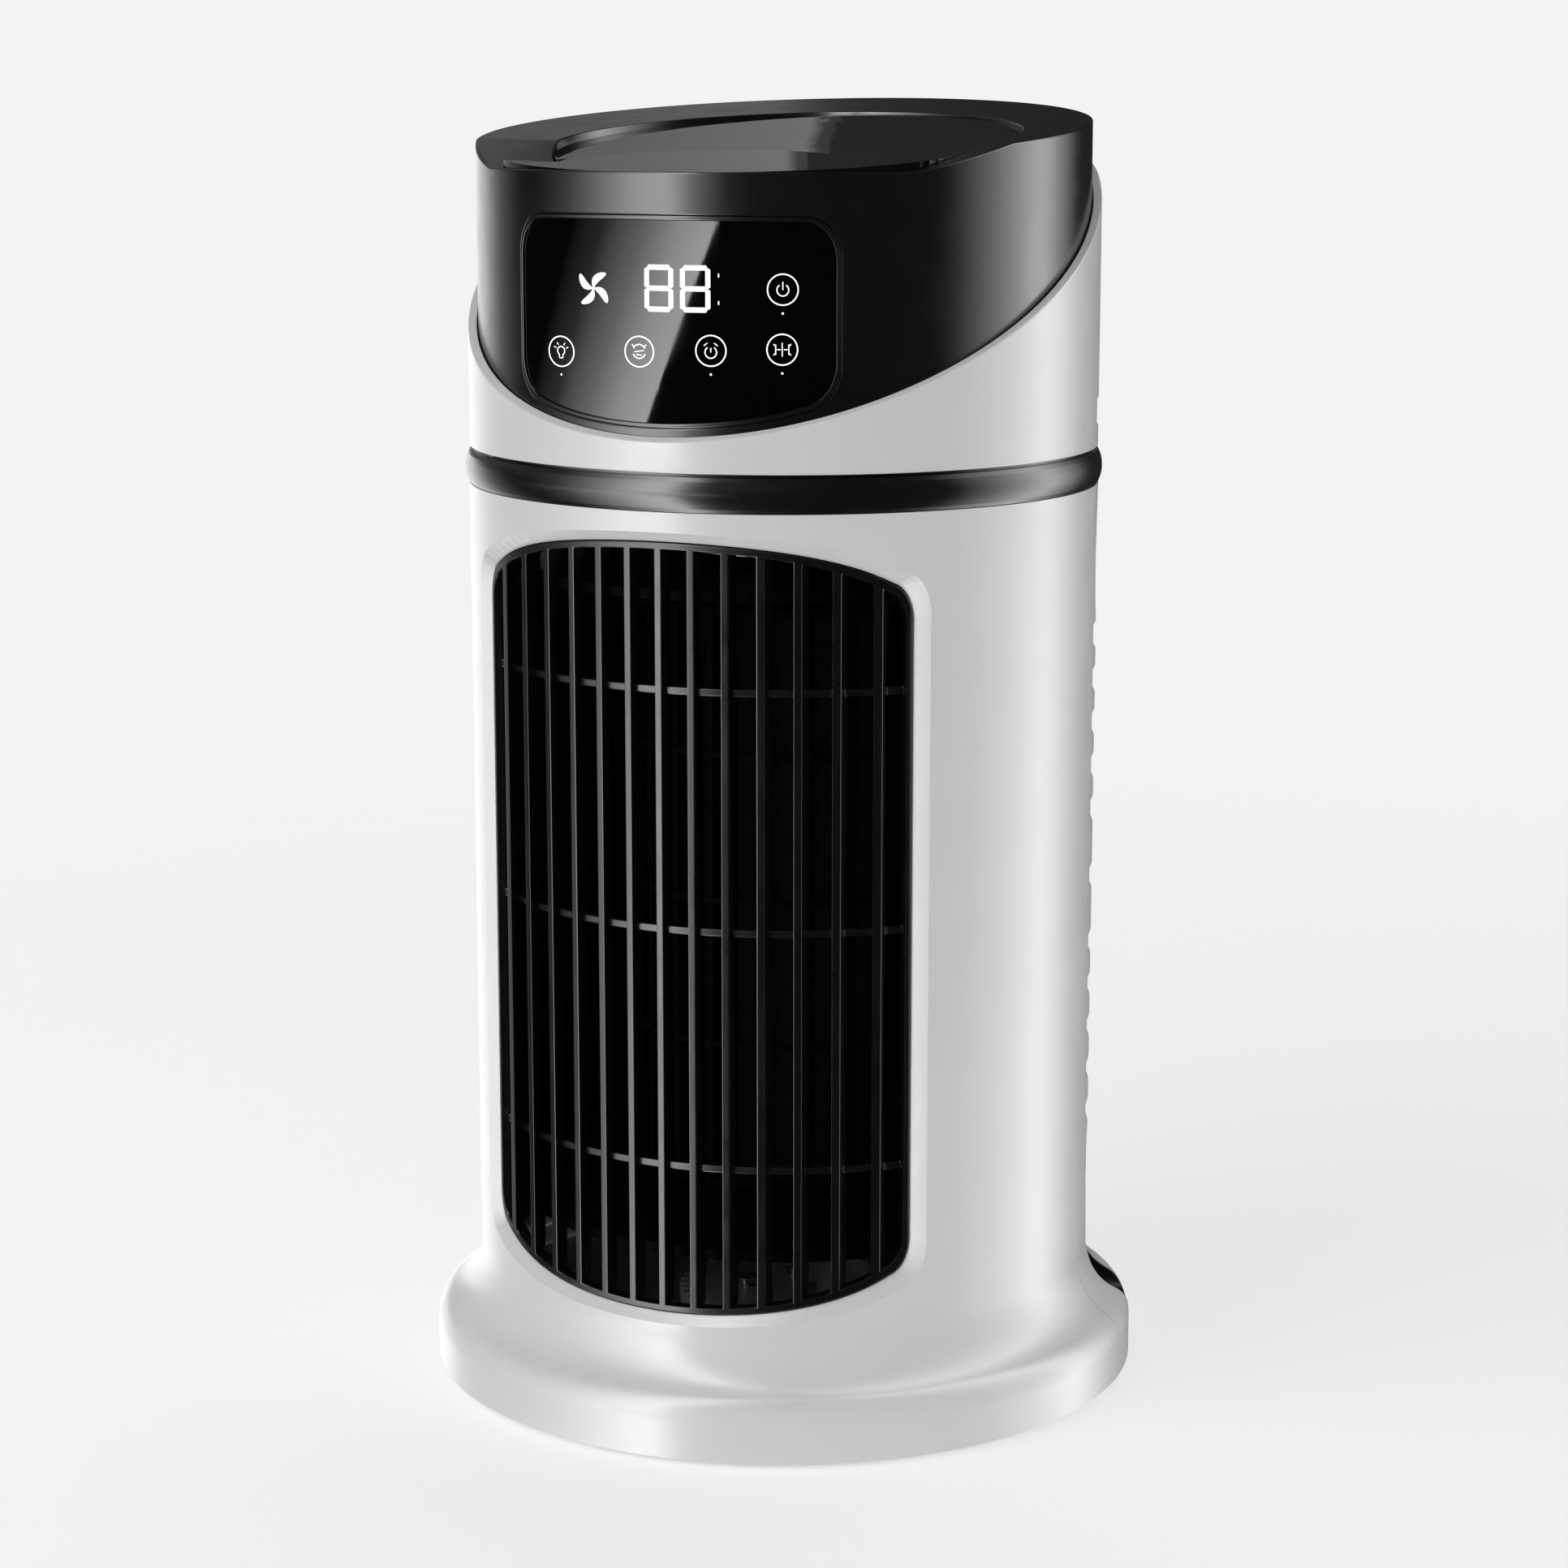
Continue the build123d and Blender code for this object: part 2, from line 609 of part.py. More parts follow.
def front_housing():
    """Front half of the casing, with the bevelled air outlet."""
    shell = casing_shell() & front_half()
    shell -= outlet_prism(0)
    shell -= outlet_bevel()
    for z in CASING_SCREW_ZS:
        for side in (-1, 1):
            x = side * CASING_SCREW_X
            boss = casing_boss(x, SEAM_Y - GAP / 2 - 12.0, SEAM_Y - GAP / 2, z, BOSS_R)
            shell += (boss + casing_web(side, SEAM_Y - 12.0, SEAM_Y - GAP / 2, z)) & casing_solid(WALL / 2)
            shell -= casing_boss(x, SEAM_Y - GAP / 2 - 10.0, SEAM_Y, z, SCREW_R)
    return shell


def skin_patch(prism, radius):
    """Part of a cylinder about the axis that lies inside a prism."""
    solid = prism & rod(radius, 0, HEIGHT)
    return solid.faces().filter_by(GeomType.CYLINDER)[0]


def outlet_bevel():
    """Solid whose sides slope outwards from the outlet's edge to the casing's skin and past it."""
    past = 1.3
    angle = OUTLET_ANGLE + degrees(BEVEL_WIDTH * past / BODY_R)
    low, high = OUTLET_LOW_Z - BEVEL_HEIGHT * past, OUTLET_HIGH_Z + BEVEL_HEIGHT * past
    wide = radial_prism(angle, low, high, OUTLET_BOW, OUTLET_BOW, OUTLET_CORNER + past, BODY_R)
    inner = skin_patch(outlet_prism(0), BODY_R - BEVEL_DEPTH)
    outer = skin_patch(wide, BODY_R - BEVEL_DEPTH + BEVEL_DEPTH * past)
    sides = Shell.make_loft([inner.outer_wire(), outer.outer_wire()], ruled=True)
    return Solid(Shell([*sides.faces(), inner, outer]))


def slot_cutter(z, skin_r, wall, start, end, through=True):
    """Slot round the axis with a sloping mouth, between two angles from the front."""
    mouth = SLOT_HEIGHT / 2 + SLOT_BEVEL
    throat = SLOT_HEIGHT / 2 - 0.4
    floor_r = skin_r - wall / 2
    past = 1.0
    upper = [(floor_r, z + throat), (skin_r, z + mouth), (skin_r + past, z + mouth)]
    if through:
        upper.insert(0, (skin_r - 2 * wall, z + throat))
    lower = [(r, 2 * z - height) for r, height in reversed(upper)]
    face = Plane.XZ * make_face(Polyline(*upper, *lower, close=True))
    return Rot(0, 0, start - 90) * revolve(face, axis=Axis.Z, revolution_arc=end - start)


def slot_heights():
    """Heights of the open intake slots."""
    lower = [SLOT_LOW_Z + k * SLOT_PITCH for k in range(SLOTS_PER_BANK)]
    upper = [SLOT_UPPER_Z + k * SLOT_PITCH for k in range(SLOTS_PER_BANK)]
    return lower + upper


def rear_housing():
    """Rear half of the casing, with intake slots, screw wells and the supply recess."""
    shell = casing_shell() & rear_half()
    first, last = SLOT_SPANS[0][0], SLOT_SPANS[-1][1]
    shell -= slot_cutter(SLOT_MID_Z, BODY_R, WALL, first, last, through=False)
    for z in slot_heights():
        for start, end in SLOT_SPANS:
            shell -= slot_cutter(z, BODY_R, WALL, start, end)
    for z in CASING_SCREW_ZS:
        for side in (-1, 1):
            x = side * CASING_SCREW_X
            well = casing_boss(x, SEAM_Y + GAP / 2, 45.0, z, BOSS_R + 1.2)
            shell += (well + casing_web(side, SEAM_Y + GAP / 2, WEB_BACK_Y, z)) & casing_solid(WALL / 2)
            shell -= casing_boss(x, SEAM_Y + 5.0, BODY_R, z, SCREW_HEAD_R + 0.3)
            shell -= casing_boss(x, SEAM_Y, SEAM_Y + 6.0, z, SCREW_R + 0.2)
    shell -= socket_rod(SOCKET_R + WELL_WALL, SOCKET_FACE_R - 20.0, FOOT_R + 5.0)
    return shell


def casing_screws():
    """Screws that pull the rear half onto the front half."""
    screws = []
    for z in CASING_SCREW_ZS:
        for side in (-1, 1):
            x = side * CASING_SCREW_X
            shank = casing_boss(x, SEAM_Y - 9.0, SEAM_Y + 5.1, z, SCREW_R)
            head = casing_boss(x, SEAM_Y + 5.1, SEAM_Y + 5.1 + SCREW_HEAD, z, SCREW_HEAD_R)
            screws.append(shank + head)
    return screws


def grille_bars():
    """Upright slats and the cross ribs behind them, before they are trimmed to the frame."""
    face_r = GRILLE_R
    skin = rod(face_r, 0, HEIGHT)
    slats = Part()
    span = (OUTLET_LOW_Z - 5, OUTLET_HIGH_Z + 5)
    for k in range(SLAT_COUNT):
        x = (k - (SLAT_COUNT - 1) / 2) * SLAT_PITCH
        front_y = -sqrt(face_r ** 2 - x ** 2)
        slats += block((x - SLAT_WIDTH / 2, x + SLAT_WIDTH / 2), (front_y - 3, front_y + SLAT_DEPTH), span)
    slats &= skin
    rib_r = face_r - 2.0
    for z in RIB_HEIGHTS:
        slats += tube(rib_r, rib_r - RIB_DEPTH, z - RIB_THICK / 2, z + RIB_THICK / 2)
    return slats & block((-BIG, BIG), (-BIG, 0), span)


def front_grille():
    """Black insert: a frame that follows the outlet, slats and ribs."""
    face_r = GRILLE_R
    ring = tube(face_r, face_r - GRILLE_DEPTH, OUTLET_LOW_Z - 2, OUTLET_HIGH_Z + 2)
    frame = (ring & outlet_prism(GAP)) - outlet_prism(GRILLE_LIP)
    return frame + (grille_bars() & outlet_prism(GRILLE_LIP - 0.4))


# ---------------------------------------------------------------- air path

def dust_filter():
    """Thin dark filter sheet that lies behind the intake slots."""
    outer = CASING_IN_R - FILTER_GAP
    low, high = SLOT_LOW_Z - SLOT_PITCH / 2, SLOT_UPPER_Z + (SLOTS_PER_BANK - 0.5) * SLOT_PITCH
    first, last = SLOT_SPANS[0][0] - 1.5, SLOT_SPANS[-1][1] + 1.5
    face = Plane.XZ * Pos(outer - FILTER_THICK / 2, (low + high) / 2) * Rectangle(FILTER_THICK, high - low)
    sheet = Rot(0, 0, first - 90) * revolve(face, axis=Axis.Z, revolution_arc=last - first)
    for z in CASING_SCREW_ZS:
        for side in (-1, 1):
            sheet -= casing_web(side, SEAM_Y, WEB_BACK_Y, z, GAP)
    return sheet - boss_room()


def lower_deck():
    """Disc under the blower wheel that holds its lower bearing."""
    deck = rod(CASING_IN_R - GAP, DECK_LOW_Z, DECK_FLOOR_Z)
    deck += rod(GROMMET_R + 3.0, DECK_LOW_Z - 2.0, DECK_LOW_Z, 0, WHEEL_Y)
    deck -= rod(GROMMET_R, DECK_LOW_Z - 2.0, DECK_FLOOR_Z, 0, WHEEL_Y)
    deck -= rod(LOOM_R + 1.0, DECK_LOW_Z, DECK_FLOOR_Z, *LOOM_RISE)
    deck -= grille_room()
    return deck - boss_room()


def grille_room():
    """Space just behind the outlet that the grille fills."""
    face_r = GRILLE_R
    slab = block((-BIG, BIG), (-BIG, -CASING_IN_R * cos(radians(OUTLET_ANGLE + 3))), (0, HEIGHT))
    return slab - rod(face_r - SLAT_DEPTH - 4.5, 0, HEIGHT)


def boss_room():
    """Clearance round the casing's screw bosses."""
    room = Part()
    for z in CASING_SCREW_ZS:
        for side in (-1, 1):
            x = side * CASING_SCREW_X
            room += casing_boss(x, SEAM_Y - 13.0, 46.0, z, BOSS_R + 1.6)
    return room


def upper_deck():
    """Disc over the blower wheel that carries the motor."""
    deck = rod(CASING_IN_R - GAP, DECK_HIGH_Z, DECK_TOP_Z)
    deck -= rod(SHAFT_R + 4.0, DECK_HIGH_Z, DECK_TOP_Z, 0, WHEEL_Y)
    deck -= rod(LOOM_R + 1.0, DECK_HIGH_Z, DECK_TOP_Z, *LOOM_RISE)
    for x, y in motor_mounts():
        deck -= rod(SCREW_R, DECK_HIGH_Z, DECK_TOP_Z, x, y)
    deck -= grille_room()
    return deck - boss_room()


def motor_mounts():
    """Centres of the motor's four rubber bushes."""
    return [(MOTOR_MOUNT_R * cos(radians(45 + 90 * k)), WHEEL_Y + MOTOR_MOUNT_R * sin(radians(45 + 90 * k)))
            for k in range(4)]


def duct_wall(points, side):
    """Curved upright wall between the decks; the points run from the wheel to the outlet."""
    line = Spline(*points)
    steps = [k / (2 * len(points)) for k in range(2 * len(points) + 1)]
    outer = []
    for step in steps:
        along = line % step
        place = line @ step
        outer.append((place.X - along.Y * SCROLL_THICK, place.Y + along.X * SCROLL_THICK))
    back = Spline(*outer)
    outline = [line, Line(points[-1], outer[-1]), back, Line(outer[0], points[0])]
    wall = Pos(0, 0, DECK_FLOOR_Z) * extrude(make_face(outline), amount=DECK_HIGH_Z - DECK_FLOOR_Z)
    return wall if side > 0 else mirror(wall, about=Plane.YZ)


def outlet_corner():
    """Place where a duct wall ends, just inside the casing beside the outlet."""
    return around(CASING_IN_R - 4.5, OUTLET_ANGLE + 1.0)


def scroll_wall():
    """Long curved wall that leads air round the wheel to the outlet."""
    near = WHEEL_R + SCROLL_GAP + SCROLL_THICK
    end_x, end_y = outlet_corner()
    points = [
        (near * cos(radians(25)), WHEEL_Y + near * sin(radians(25))),
        (near + 1.5, WHEEL_Y - 4.0),
        (near + 4.5, WHEEL_Y - 24.0),
        (end_x, end_y),
    ]
    return duct_wall(points, -1)


def tongue_wall():
    """Short wall that cuts the air off the wheel beside the outlet."""
    near = WHEEL_R + SCROLL_GAP + SCROLL_THICK
    end_x, end_y = outlet_corner()
    points = [
        (near * cos(radians(-12)), WHEEL_Y + near * sin(radians(-12))),
        (near + 1.0, WHEEL_Y - 22.0),
        (end_x, end_y),
    ]
    return duct_wall(points, 1)


def bearing_grommet():
    """Rubber ring that holds the lower bush in its deck."""
    return tube(GROMMET_R, BUSH_R, DECK_LOW_Z - 2.0, DECK_FLOOR_Z + 1.0, 0, WHEEL_Y)


def lower_bush():
    """Sintered bush under the wheel."""
    return tube(BUSH_R, SHAFT_R + SHAFT_FIT, DECK_LOW_Z - 2.0, DECK_FLOOR_Z + 2.0, 0, WHEEL_Y)


def blade_face(angle):
    """Plan of one forward-curved blade."""
    mid_r = (WHEEL_R + WHEEL_HOLE_R) / 2
    inner = Vector(WHEEL_HOLE_R, 0).rotate(Axis.Z, angle)
    bulge = Vector(mid_r, 0).rotate(Axis.Z, angle + 1.5)
    outer = Vector(WHEEL_R - 0.3, 0).rotate(Axis.Z, angle + 9.0)
    inner_2 = Vector(WHEEL_HOLE_R, 0).rotate(Axis.Z, angle - degrees(BLADE_THICK / WHEEL_HOLE_R))
    bulge_2 = Vector(mid_r, 0).rotate(Axis.Z, angle + 1.5 - degrees(BLADE_THICK / mid_r))
    outer_2 = Vector(WHEEL_R - 0.3, 0).rotate(Axis.Z, angle + 9.0 - degrees(BLADE_THICK / WHEEL_R))
    edges = [ThreePointArc(inner, bulge, outer), Line(outer, outer_2),
             ThreePointArc(outer_2, bulge_2, inner_2), Line(inner_2, inner)]
    return make_face(edges)


def blower_wheel():
    """Tall tangential wheel: two end discs, rings between them and curved blades."""
    low, high = WHEEL_LOW_Z, WHEEL_HIGH_Z
    wheel = rod(WHEEL_R, low, low + WHEEL_DISC) + rod(WHEEL_R, high - WHEEL_DISC, high)
    wheel += rod(8.0, low + WHEEL_DISC, low + 14.0) + rod(8.0, high - 14.0, high - WHEEL_DISC)
    step = (high - low) / (WHEEL_RINGS + 1)
    for k in range(WHEEL_RINGS):
        z = low + step * (k + 1)
        wheel += tube(WHEEL_R, WHEEL_HOLE_R - 1.5, z - 0.8, z + 0.8)
    blades = [Pos(0, 0, low) * extrude(blade_face(360 * k / BLADE_COUNT), amount=high - low)
              for k in range(BLADE_COUNT)]
    wheel += blades
    wheel -= rod(SHAFT_R + 0.02, low, high)
    return Pos(0, WHEEL_Y, 0) * wheel


def wheel_shaft():
    """Steel shaft from the lower bush up into the motor."""
    return rod(SHAFT_R, DECK_LOW_Z - 1.0, MOTOR_TOP_Z - 2.0, 0, WHEEL_Y)


def rotor_core():
    """Magnet rotor on the shaft, inside the motor can."""
    low, high = MOTOR_LOW_Z + 4.5, MOTOR_TOP_Z - 4.5
    return tube(17.5, SHAFT_R + 0.02, low, high, 0, WHEEL_Y)


def motor_can():
    """Round motor housing with four ears."""
    can = rod(MOTOR_R - 4.0, MOTOR_LOW_Z, MOTOR_TOP_Z, 0, WHEEL_Y)
    can = fillet(can.edges().group_by(Axis.Z)[-1], 2.0)
    can += rod(MOTOR_R, MOTOR_LOW_Z, MOTOR_LOW_Z + MOTOR_EAR_THICK, 0, WHEEL_Y)
    room_r = MOTOR_R - 4.0 - MOTOR_WALL
    can -= rod(room_r, MOTOR_LOW_Z + MOTOR_EAR_THICK, MOTOR_TOP_Z - MOTOR_WALL, 0, WHEEL_Y)
    can -= rod(BUSH_R, MOTOR_LOW_Z, MOTOR_LOW_Z + MOTOR_EAR_THICK, 0, WHEEL_Y)
    for x, y in motor_mounts():
        can -= rod(SCREW_R + 0.2, MOTOR_LOW_Z, MOTOR_LOW_Z + MOTOR_EAR_THICK, x, y)
        can -= rod(SCREW_HEAD_R + 0.6, MOTOR_LOW_Z + MOTOR_EAR_THICK, MOTOR_TOP_Z, x, y)
    return can


def motor_stator():
    """Wound stator ring inside the can."""
    return tube(21.5, 18.2, MOTOR_LOW_Z + 4.0, MOTOR_TOP_Z - 4.0, 0, WHEEL_Y)


def motor_bearing():
    """Bearing at the foot of the motor."""
    return tube(BUSH_R, SHAFT_R + SHAFT_FIT, MOTOR_LOW_Z - 1.0, MOTOR_LOW_Z + 3.5, 0, WHEEL_Y)


def motor_bushes():
    """Rubber bushes under the motor's ears."""
    return [tube(4.5, SCREW_R + 0.2, DECK_TOP_Z, MOTOR_LOW_Z, x, y) for x, y in motor_mounts()]


def motor_screws():
    """Screws through the motor's ears and bushes into the deck."""
    length = MOTOR_LOW_Z + MOTOR_EAR_THICK - DECK_HIGH_Z - 0.5
    return [screw(x, y, DECK_HIGH_Z + 0.5, length) for x, y in motor_mounts()]


# ---------------------------------------------------------------- upper stack

def mid_ring():
    """Glossy band between the casing and the head, slightly bulged."""
    middle = (CASING_TOP_Z + RING_TOP_Z) / 2
    outer, inner = COLLAR_R, HEAD_IN_R + WALL / 3
    step_r, step_z = outer - RING_STEP, RING_TOP_Z - RING_STEP_HEIGHT
    edges = [
        ThreePointArc((outer, CASING_TOP_Z), (outer + RING_BULGE, middle), (outer, step_z)),
        Polyline((outer, step_z), (step_r, step_z), (step_r, RING_TOP_Z), (inner, RING_TOP_Z),
                 (inner, CASING_TOP_Z), (outer, CASING_TOP_Z)),
    ]
    return revolve(Plane.XZ * make_face(edges), axis=Axis.Z)


def head_floor():
    """Disc inside the ring that carries the head and the control board."""
    floor = rod(HEAD_IN_R + WALL / 3 - GAP, FLOOR_Z, FLOOR_TOP_Z)
    floor -= rod(LOOM_R + 1.0, FLOOR_Z, FLOOR_TOP_Z, *LOOM_RISE)
    for x, y in floor_posts():
        floor += rod(BOSS_R, DECK_TOP_Z, FLOOR_Z, x, y)
    for x, y in board_posts():
        floor += rod(3.0, FLOOR_TOP_Z, BOARD_Z, x, y) - rod(1.2, BOARD_Z - 5.0, BOARD_Z, x, y)
    for x, y in head_bosses():
        floor -= rod(SCREW_R + 0.2, FLOOR_Z, FLOOR_TOP_Z, x, y)
    return floor


def floor_posts():
    """Centres of the posts that stand the head floor on the upper deck."""
    return [around(CASING_IN_R - 14.1, 45 + 90 * k) for k in range(4)]


def board_posts():
    """Centres of the control board's posts."""
    return [(side * 31.0, 8.0 + end * 21.0) for side in (-1, 1) for end in (-1, 1)]


def head_bosses():
    """Centres of the head shell's screw bosses."""
    return [around(HEAD_IN_R - BOSS_R + 0.6, 70 + 73 * k) for k in range(4)]


def collar():
    """White sleeve with a slanted top edge and a grip groove round its back."""
    sleeve = tube(COLLAR_R, COLLAR_R - COLLAR_WALL, RING_TOP_Z, COLLAR_BACK_Z + 8.0)
    rise, back_rise = tan(radians(COLLAR_SLOPE)), tan(radians(COLLAR_BACK_SLOPE))
    bend_y = COLLAR_BACK_Z - back_rise * COLLAR_R - COLLAR_FRONT_Z - rise * COLLAR_R
    bend_y = bend_y / (rise - back_rise)
    bend_z = COLLAR_FRONT_Z + rise * (bend_y + COLLAR_R)
    past = 10.0
    front = (-COLLAR_R - past, COLLAR_FRONT_Z - rise * past)
    back = (COLLAR_R + past, COLLAR_BACK_Z + back_rise * past)
    top = FilletPolyline(front, (bend_y, bend_z), back, radius=COLLAR_BLEND_R)
    rest = Polyline(back, (back[0], FLOOR_Z), (front[0], FLOOR_Z), front)
    sleeve &= extrude(Plane.YZ * make_face([top, rest]), amount=BIG, both=True)
    return sleeve - slot_cutter(GRIP_Z, COLLAR_R, COLLAR_WALL, GRIP_START, 360 - GRIP_START, through=False)


def cover_plan(grow):
    """Plan of the top cover: a round dish that runs out to the front lip."""
    dish = Pos(DISH_X, DISH_Y) * Circle(DISH_R + grow)
    front_y = -RAMP_START * HEAD_R + grow
    front = Circle(HEAD_IN_R + grow) & Pos(0, front_y - BODY_R) * Rectangle(4 * BODY_R, 2 * BODY_R)
    return dish + front


def cover_prism(grow):
    """Cover plan drawn up through the head."""
    return Pos(0, 0, FLOOR_Z) * extrude(cover_plan(grow), amount=HEIGHT)


def below_cover(drop):
    """Space under the cover's sloping front plane, lowered by a drop."""
    rise = tan(radians(COVER_SLOPE))
    past = 10.0
    front_z = LIP_Z - COVER_LIP - drop
    points = [(-HEAD_R - past, front_z - rise * past), (HEAD_R + past, front_z + rise * (2 * HEAD_R + past))]
    return under_line(points, FLOOR_Z)


def top_cover():
    """Glossy lid: a flat sloping front and a shallow rising dish behind a crease."""
    ball_z = HEIGHT - DISH_DROP + DISH_BALL_R
    ball = Pos(0, DISH_BALL_Y, ball_z) * Sphere(DISH_BALL_R)
    slab = cover_prism(-GAP) & rod(HEAD_IN_R - GAP, FLOOR_Z, HEIGHT + 5.0)
    slab -= below_cover(COVER_THICK)
    above_front = block((-BIG, BIG), (-BIG, BIG), (FLOOR_Z, HEIGHT + 20.0)) - below_cover(0)
    return slab - (above_front & ball)


def head_shell():
    """Glossy head: a round wall, a crescent rim on top and a ledge that carries the cover."""
    wall = tube(HEAD_R, HEAD_IN_R, FLOOR_TOP_Z, HEIGHT + 5.0) & under_line(rim_line(0), FLOOR_Z)
    rim = rod(HEAD_R - 0.5, LIP_Z - 8.0, HEIGHT + 5.0) - cover_prism(0)
    rim &= under_line(rim_line(0), FLOOR_Z)
    rim -= under_line(rim_line(RIM_THICK), FLOOR_Z)
    skirt = (cover_prism(1.5) - cover_prism(0)) & under_line(rim_line(0), FLOOR_Z)
    skirt -= below_cover(COVER_THICK + LEDGE_THICK)
    ledge = (cover_prism(1.5) - cover_prism(-LEDGE)) & below_cover(COVER_THICK)
    ledge -= below_cover(COVER_THICK + LEDGE_THICK)
    inside = rod(HEAD_R - 0.5, FLOOR_TOP_Z, HEIGHT + 5.0)
    shell = wall + rim + (skirt & inside) + (ledge & inside)
    shell -= panel_prism(0)
    for x, y in head_bosses():
        boss = rod(BOSS_R, FLOOR_TOP_Z, FLOOR_TOP_Z + 14.0, x, y)
        shell += boss & rod(HEAD_R - 0.5, FLOOR_TOP_Z, HEIGHT)
        shell -= rod(SCREW_R, FLOOR_TOP_Z, FLOOR_TOP_Z + 10.0, x, y)
    return shell


def head_screws():
    """Screws up through the head floor into the head shell."""
    return [screw(x, y, FLOOR_Z - SCREW_HEAD, FLOOR_THICK + 9.0, up=False) for x, y in head_bosses()]


# ---------------------------------------------------------------- control panel

def panel_bezel():
    """Thin frame round the glass, a hair proud of the head."""
    ring = tube(HEAD_R + BEZEL_PROUD, HEAD_IN_R - 0.6, PANEL_LOW_Z - 5, PANEL_HIGH_Z + 5)
    return (ring & panel_prism(0.1)) - panel_prism(BEZEL_WIDTH)


def panel_glass():
    """Curved black window over the touch field."""
    face_r = HEAD_R - GLASS_SINK
    sheet = tube(face_r, face_r - GLASS_THICK, PANEL_LOW_Z - 5, PANEL_HIGH_Z + 5)
    return sheet & panel_prism(BEZEL_WIDTH + 0.1)


def display_board():
    """Upright board behind the glass."""
    half = HEAD_R * sin(radians(PANEL_ANGLE)) - 3.0
    depth = (PANEL_BOARD_Y, PANEL_BOARD_Y + BOARD_THICK)
    return block((-half, half), depth, (PANEL_LOW_Z + 8, PANEL_HIGH_Z - 5))


def digit_display():
    """Two-digit light block on the display board."""
    width, depth, height = DIGITS_SIZE
    x = HEAD_IN_R * sin(radians(DIGITS_ANGLE))
    z = PANEL_LOW_Z + POWER_TOUCH[1]
    front = (PANEL_BOARD_Y - depth, PANEL_BOARD_Y)
    return block((x - width / 2, x + width / 2), front, (z - height / 2, z + height / 2))


def touch_springs():
    """Coil springs, drawn as their outer sleeves, that touch the back of the glass."""
    springs = []
    for angle, z in TOUCH_PLACES:
        x, y = around(HEAD_R - GLASS_SINK - GLASS_THICK - 0.3, angle)
        length = PANEL_BOARD_Y - (y + SPRING_BACK)
        sleeve = Pos(x, y + SPRING_BACK, z) * Rot(-90, 0, 0) * Cylinder(SPRING_R, length, align=STAND)
        bore = Cylinder(SPRING_R - 0.7, length + 5, align=STAND)
        springs.append(sleeve - Pos(x, y, z) * Rot(-90, 0, 0) * bore)
    return springs


def board_brackets():
    """Two feet that hold the display board up from the head floor."""
    brackets = []
    for side in (-1, 1):
        x = side * 26.0
        y = PANEL_BOARD_Y + BOARD_THICK
        upright = block((x - 4, x + 4), (y, y + 2), (FLOOR_TOP_Z, PANEL_LOW_Z + 22))
        foot = block((x - 4, x + 4), (y, y + 9), (FLOOR_TOP_Z, FLOOR_TOP_Z + 2))
        brackets.append(upright + foot)
    return brackets


def control_board():
    """Main board on its posts."""
    board = block((-36, 36), (-17, 33), (BOARD_Z, BOARD_Z + BOARD_THICK))
    for x, y in board_posts():
        board -= rod(1.4, BOARD_Z, BOARD_Z + BOARD_THICK, x, y)
    return board


def board_parts():
    """Buzzer, capacitors, heat sink and plug sockets on the main board."""
    top = BOARD_Z + BOARD_THICK
    sink = block((-16, 4), (22, 26), (top, top + 16))
    for k in range(4):
        x = -15 + 6 * k
        sink += block((x - 0.8, x + 0.8), (26, 31), (top, top + 16))
    parts = [sink, rod(6.0, top, top + 8, -20, -6)]
    parts += [rod(4.0, top, top + 12, 8, 6), rod(4.0, top, top + 12, 18, 6)]
    parts += [block((-30 + 16 * k, -20 + 16 * k), (-15.5, -10.5), (top, top + 7)) for k in (1, 2)]
    parts.append(block((22, 34), (14, 26), (top, top + 8)))
    return parts


def board_screws():
    """Screws of the main board."""
    top = BOARD_Z + BOARD_THICK
    return [rod(1.2, BOARD_Z - 4.5, top, x, y) + rod(2.6, top, top + 1.6, x, y) for x, y in board_posts()]


# ---------------------------------------------------------------- supply

def socket_rod(radius, near, far):
    """Cylinder along the socket's radial line."""
    x, y = around(near, SOCKET_ANGLE)
    outward = Vector(*around(1.0, SOCKET_ANGLE), 0)
    return Plane(origin=(x, y, SOCKET_Z), z_dir=outward) * Cylinder(radius, far - near, align=STAND)


def power_socket():
    """Low-voltage jack that faces outwards in the recess."""
    back = SOCKET_FACE_R - SOCKET_LENGTH
    body = socket_rod(SOCKET_R, back, SOCKET_FACE_R)
    body -= socket_rod(JACK_R, SOCKET_FACE_R - JACK_DEPTH, SOCKET_FACE_R)
    return body + socket_rod(JACK_PIN_R, SOCKET_FACE_R - JACK_DEPTH, SOCKET_FACE_R - 1.0)


def socket_well():
    """Sleeve that lines the recess from the casing to the jack."""
    sleeve = socket_rod(SOCKET_R + WELL_WALL, SOCKET_FACE_R - SOCKET_LENGTH, FOOT_R)
    sleeve -= socket_rod(SOCKET_R, SOCKET_FACE_R - SOCKET_LENGTH - 1, FOOT_R + 1)
    return sleeve & casing_solid(0.2)


def wire_loom():
    """Bundle from the socket up to the control board."""
    start = around(SOCKET_FACE_R - SOCKET_LENGTH, SOCKET_ANGLE)
    inner = around(SOCKET_FACE_R - SOCKET_LENGTH - 12.0, SOCKET_ANGLE)
    rise_x, rise_y = LOOM_RISE
    top = BOARD_Z + BOARD_THICK + 4.0
    points = [(start[0], start[1], SOCKET_Z), (inner[0], inner[1], SOCKET_Z),
              (rise_x, rise_y, DECK_LOW_Z - 6.0), (rise_x, rise_y, top), (35.2, 20.6, top)]
    path = FilletPolyline(*points, radius=[5.0, 12.0, 9.0])
    section = Plane(origin=path @ 0, z_dir=path % 0) * Circle(LOOM_R)
    return sweep(section, path=path)


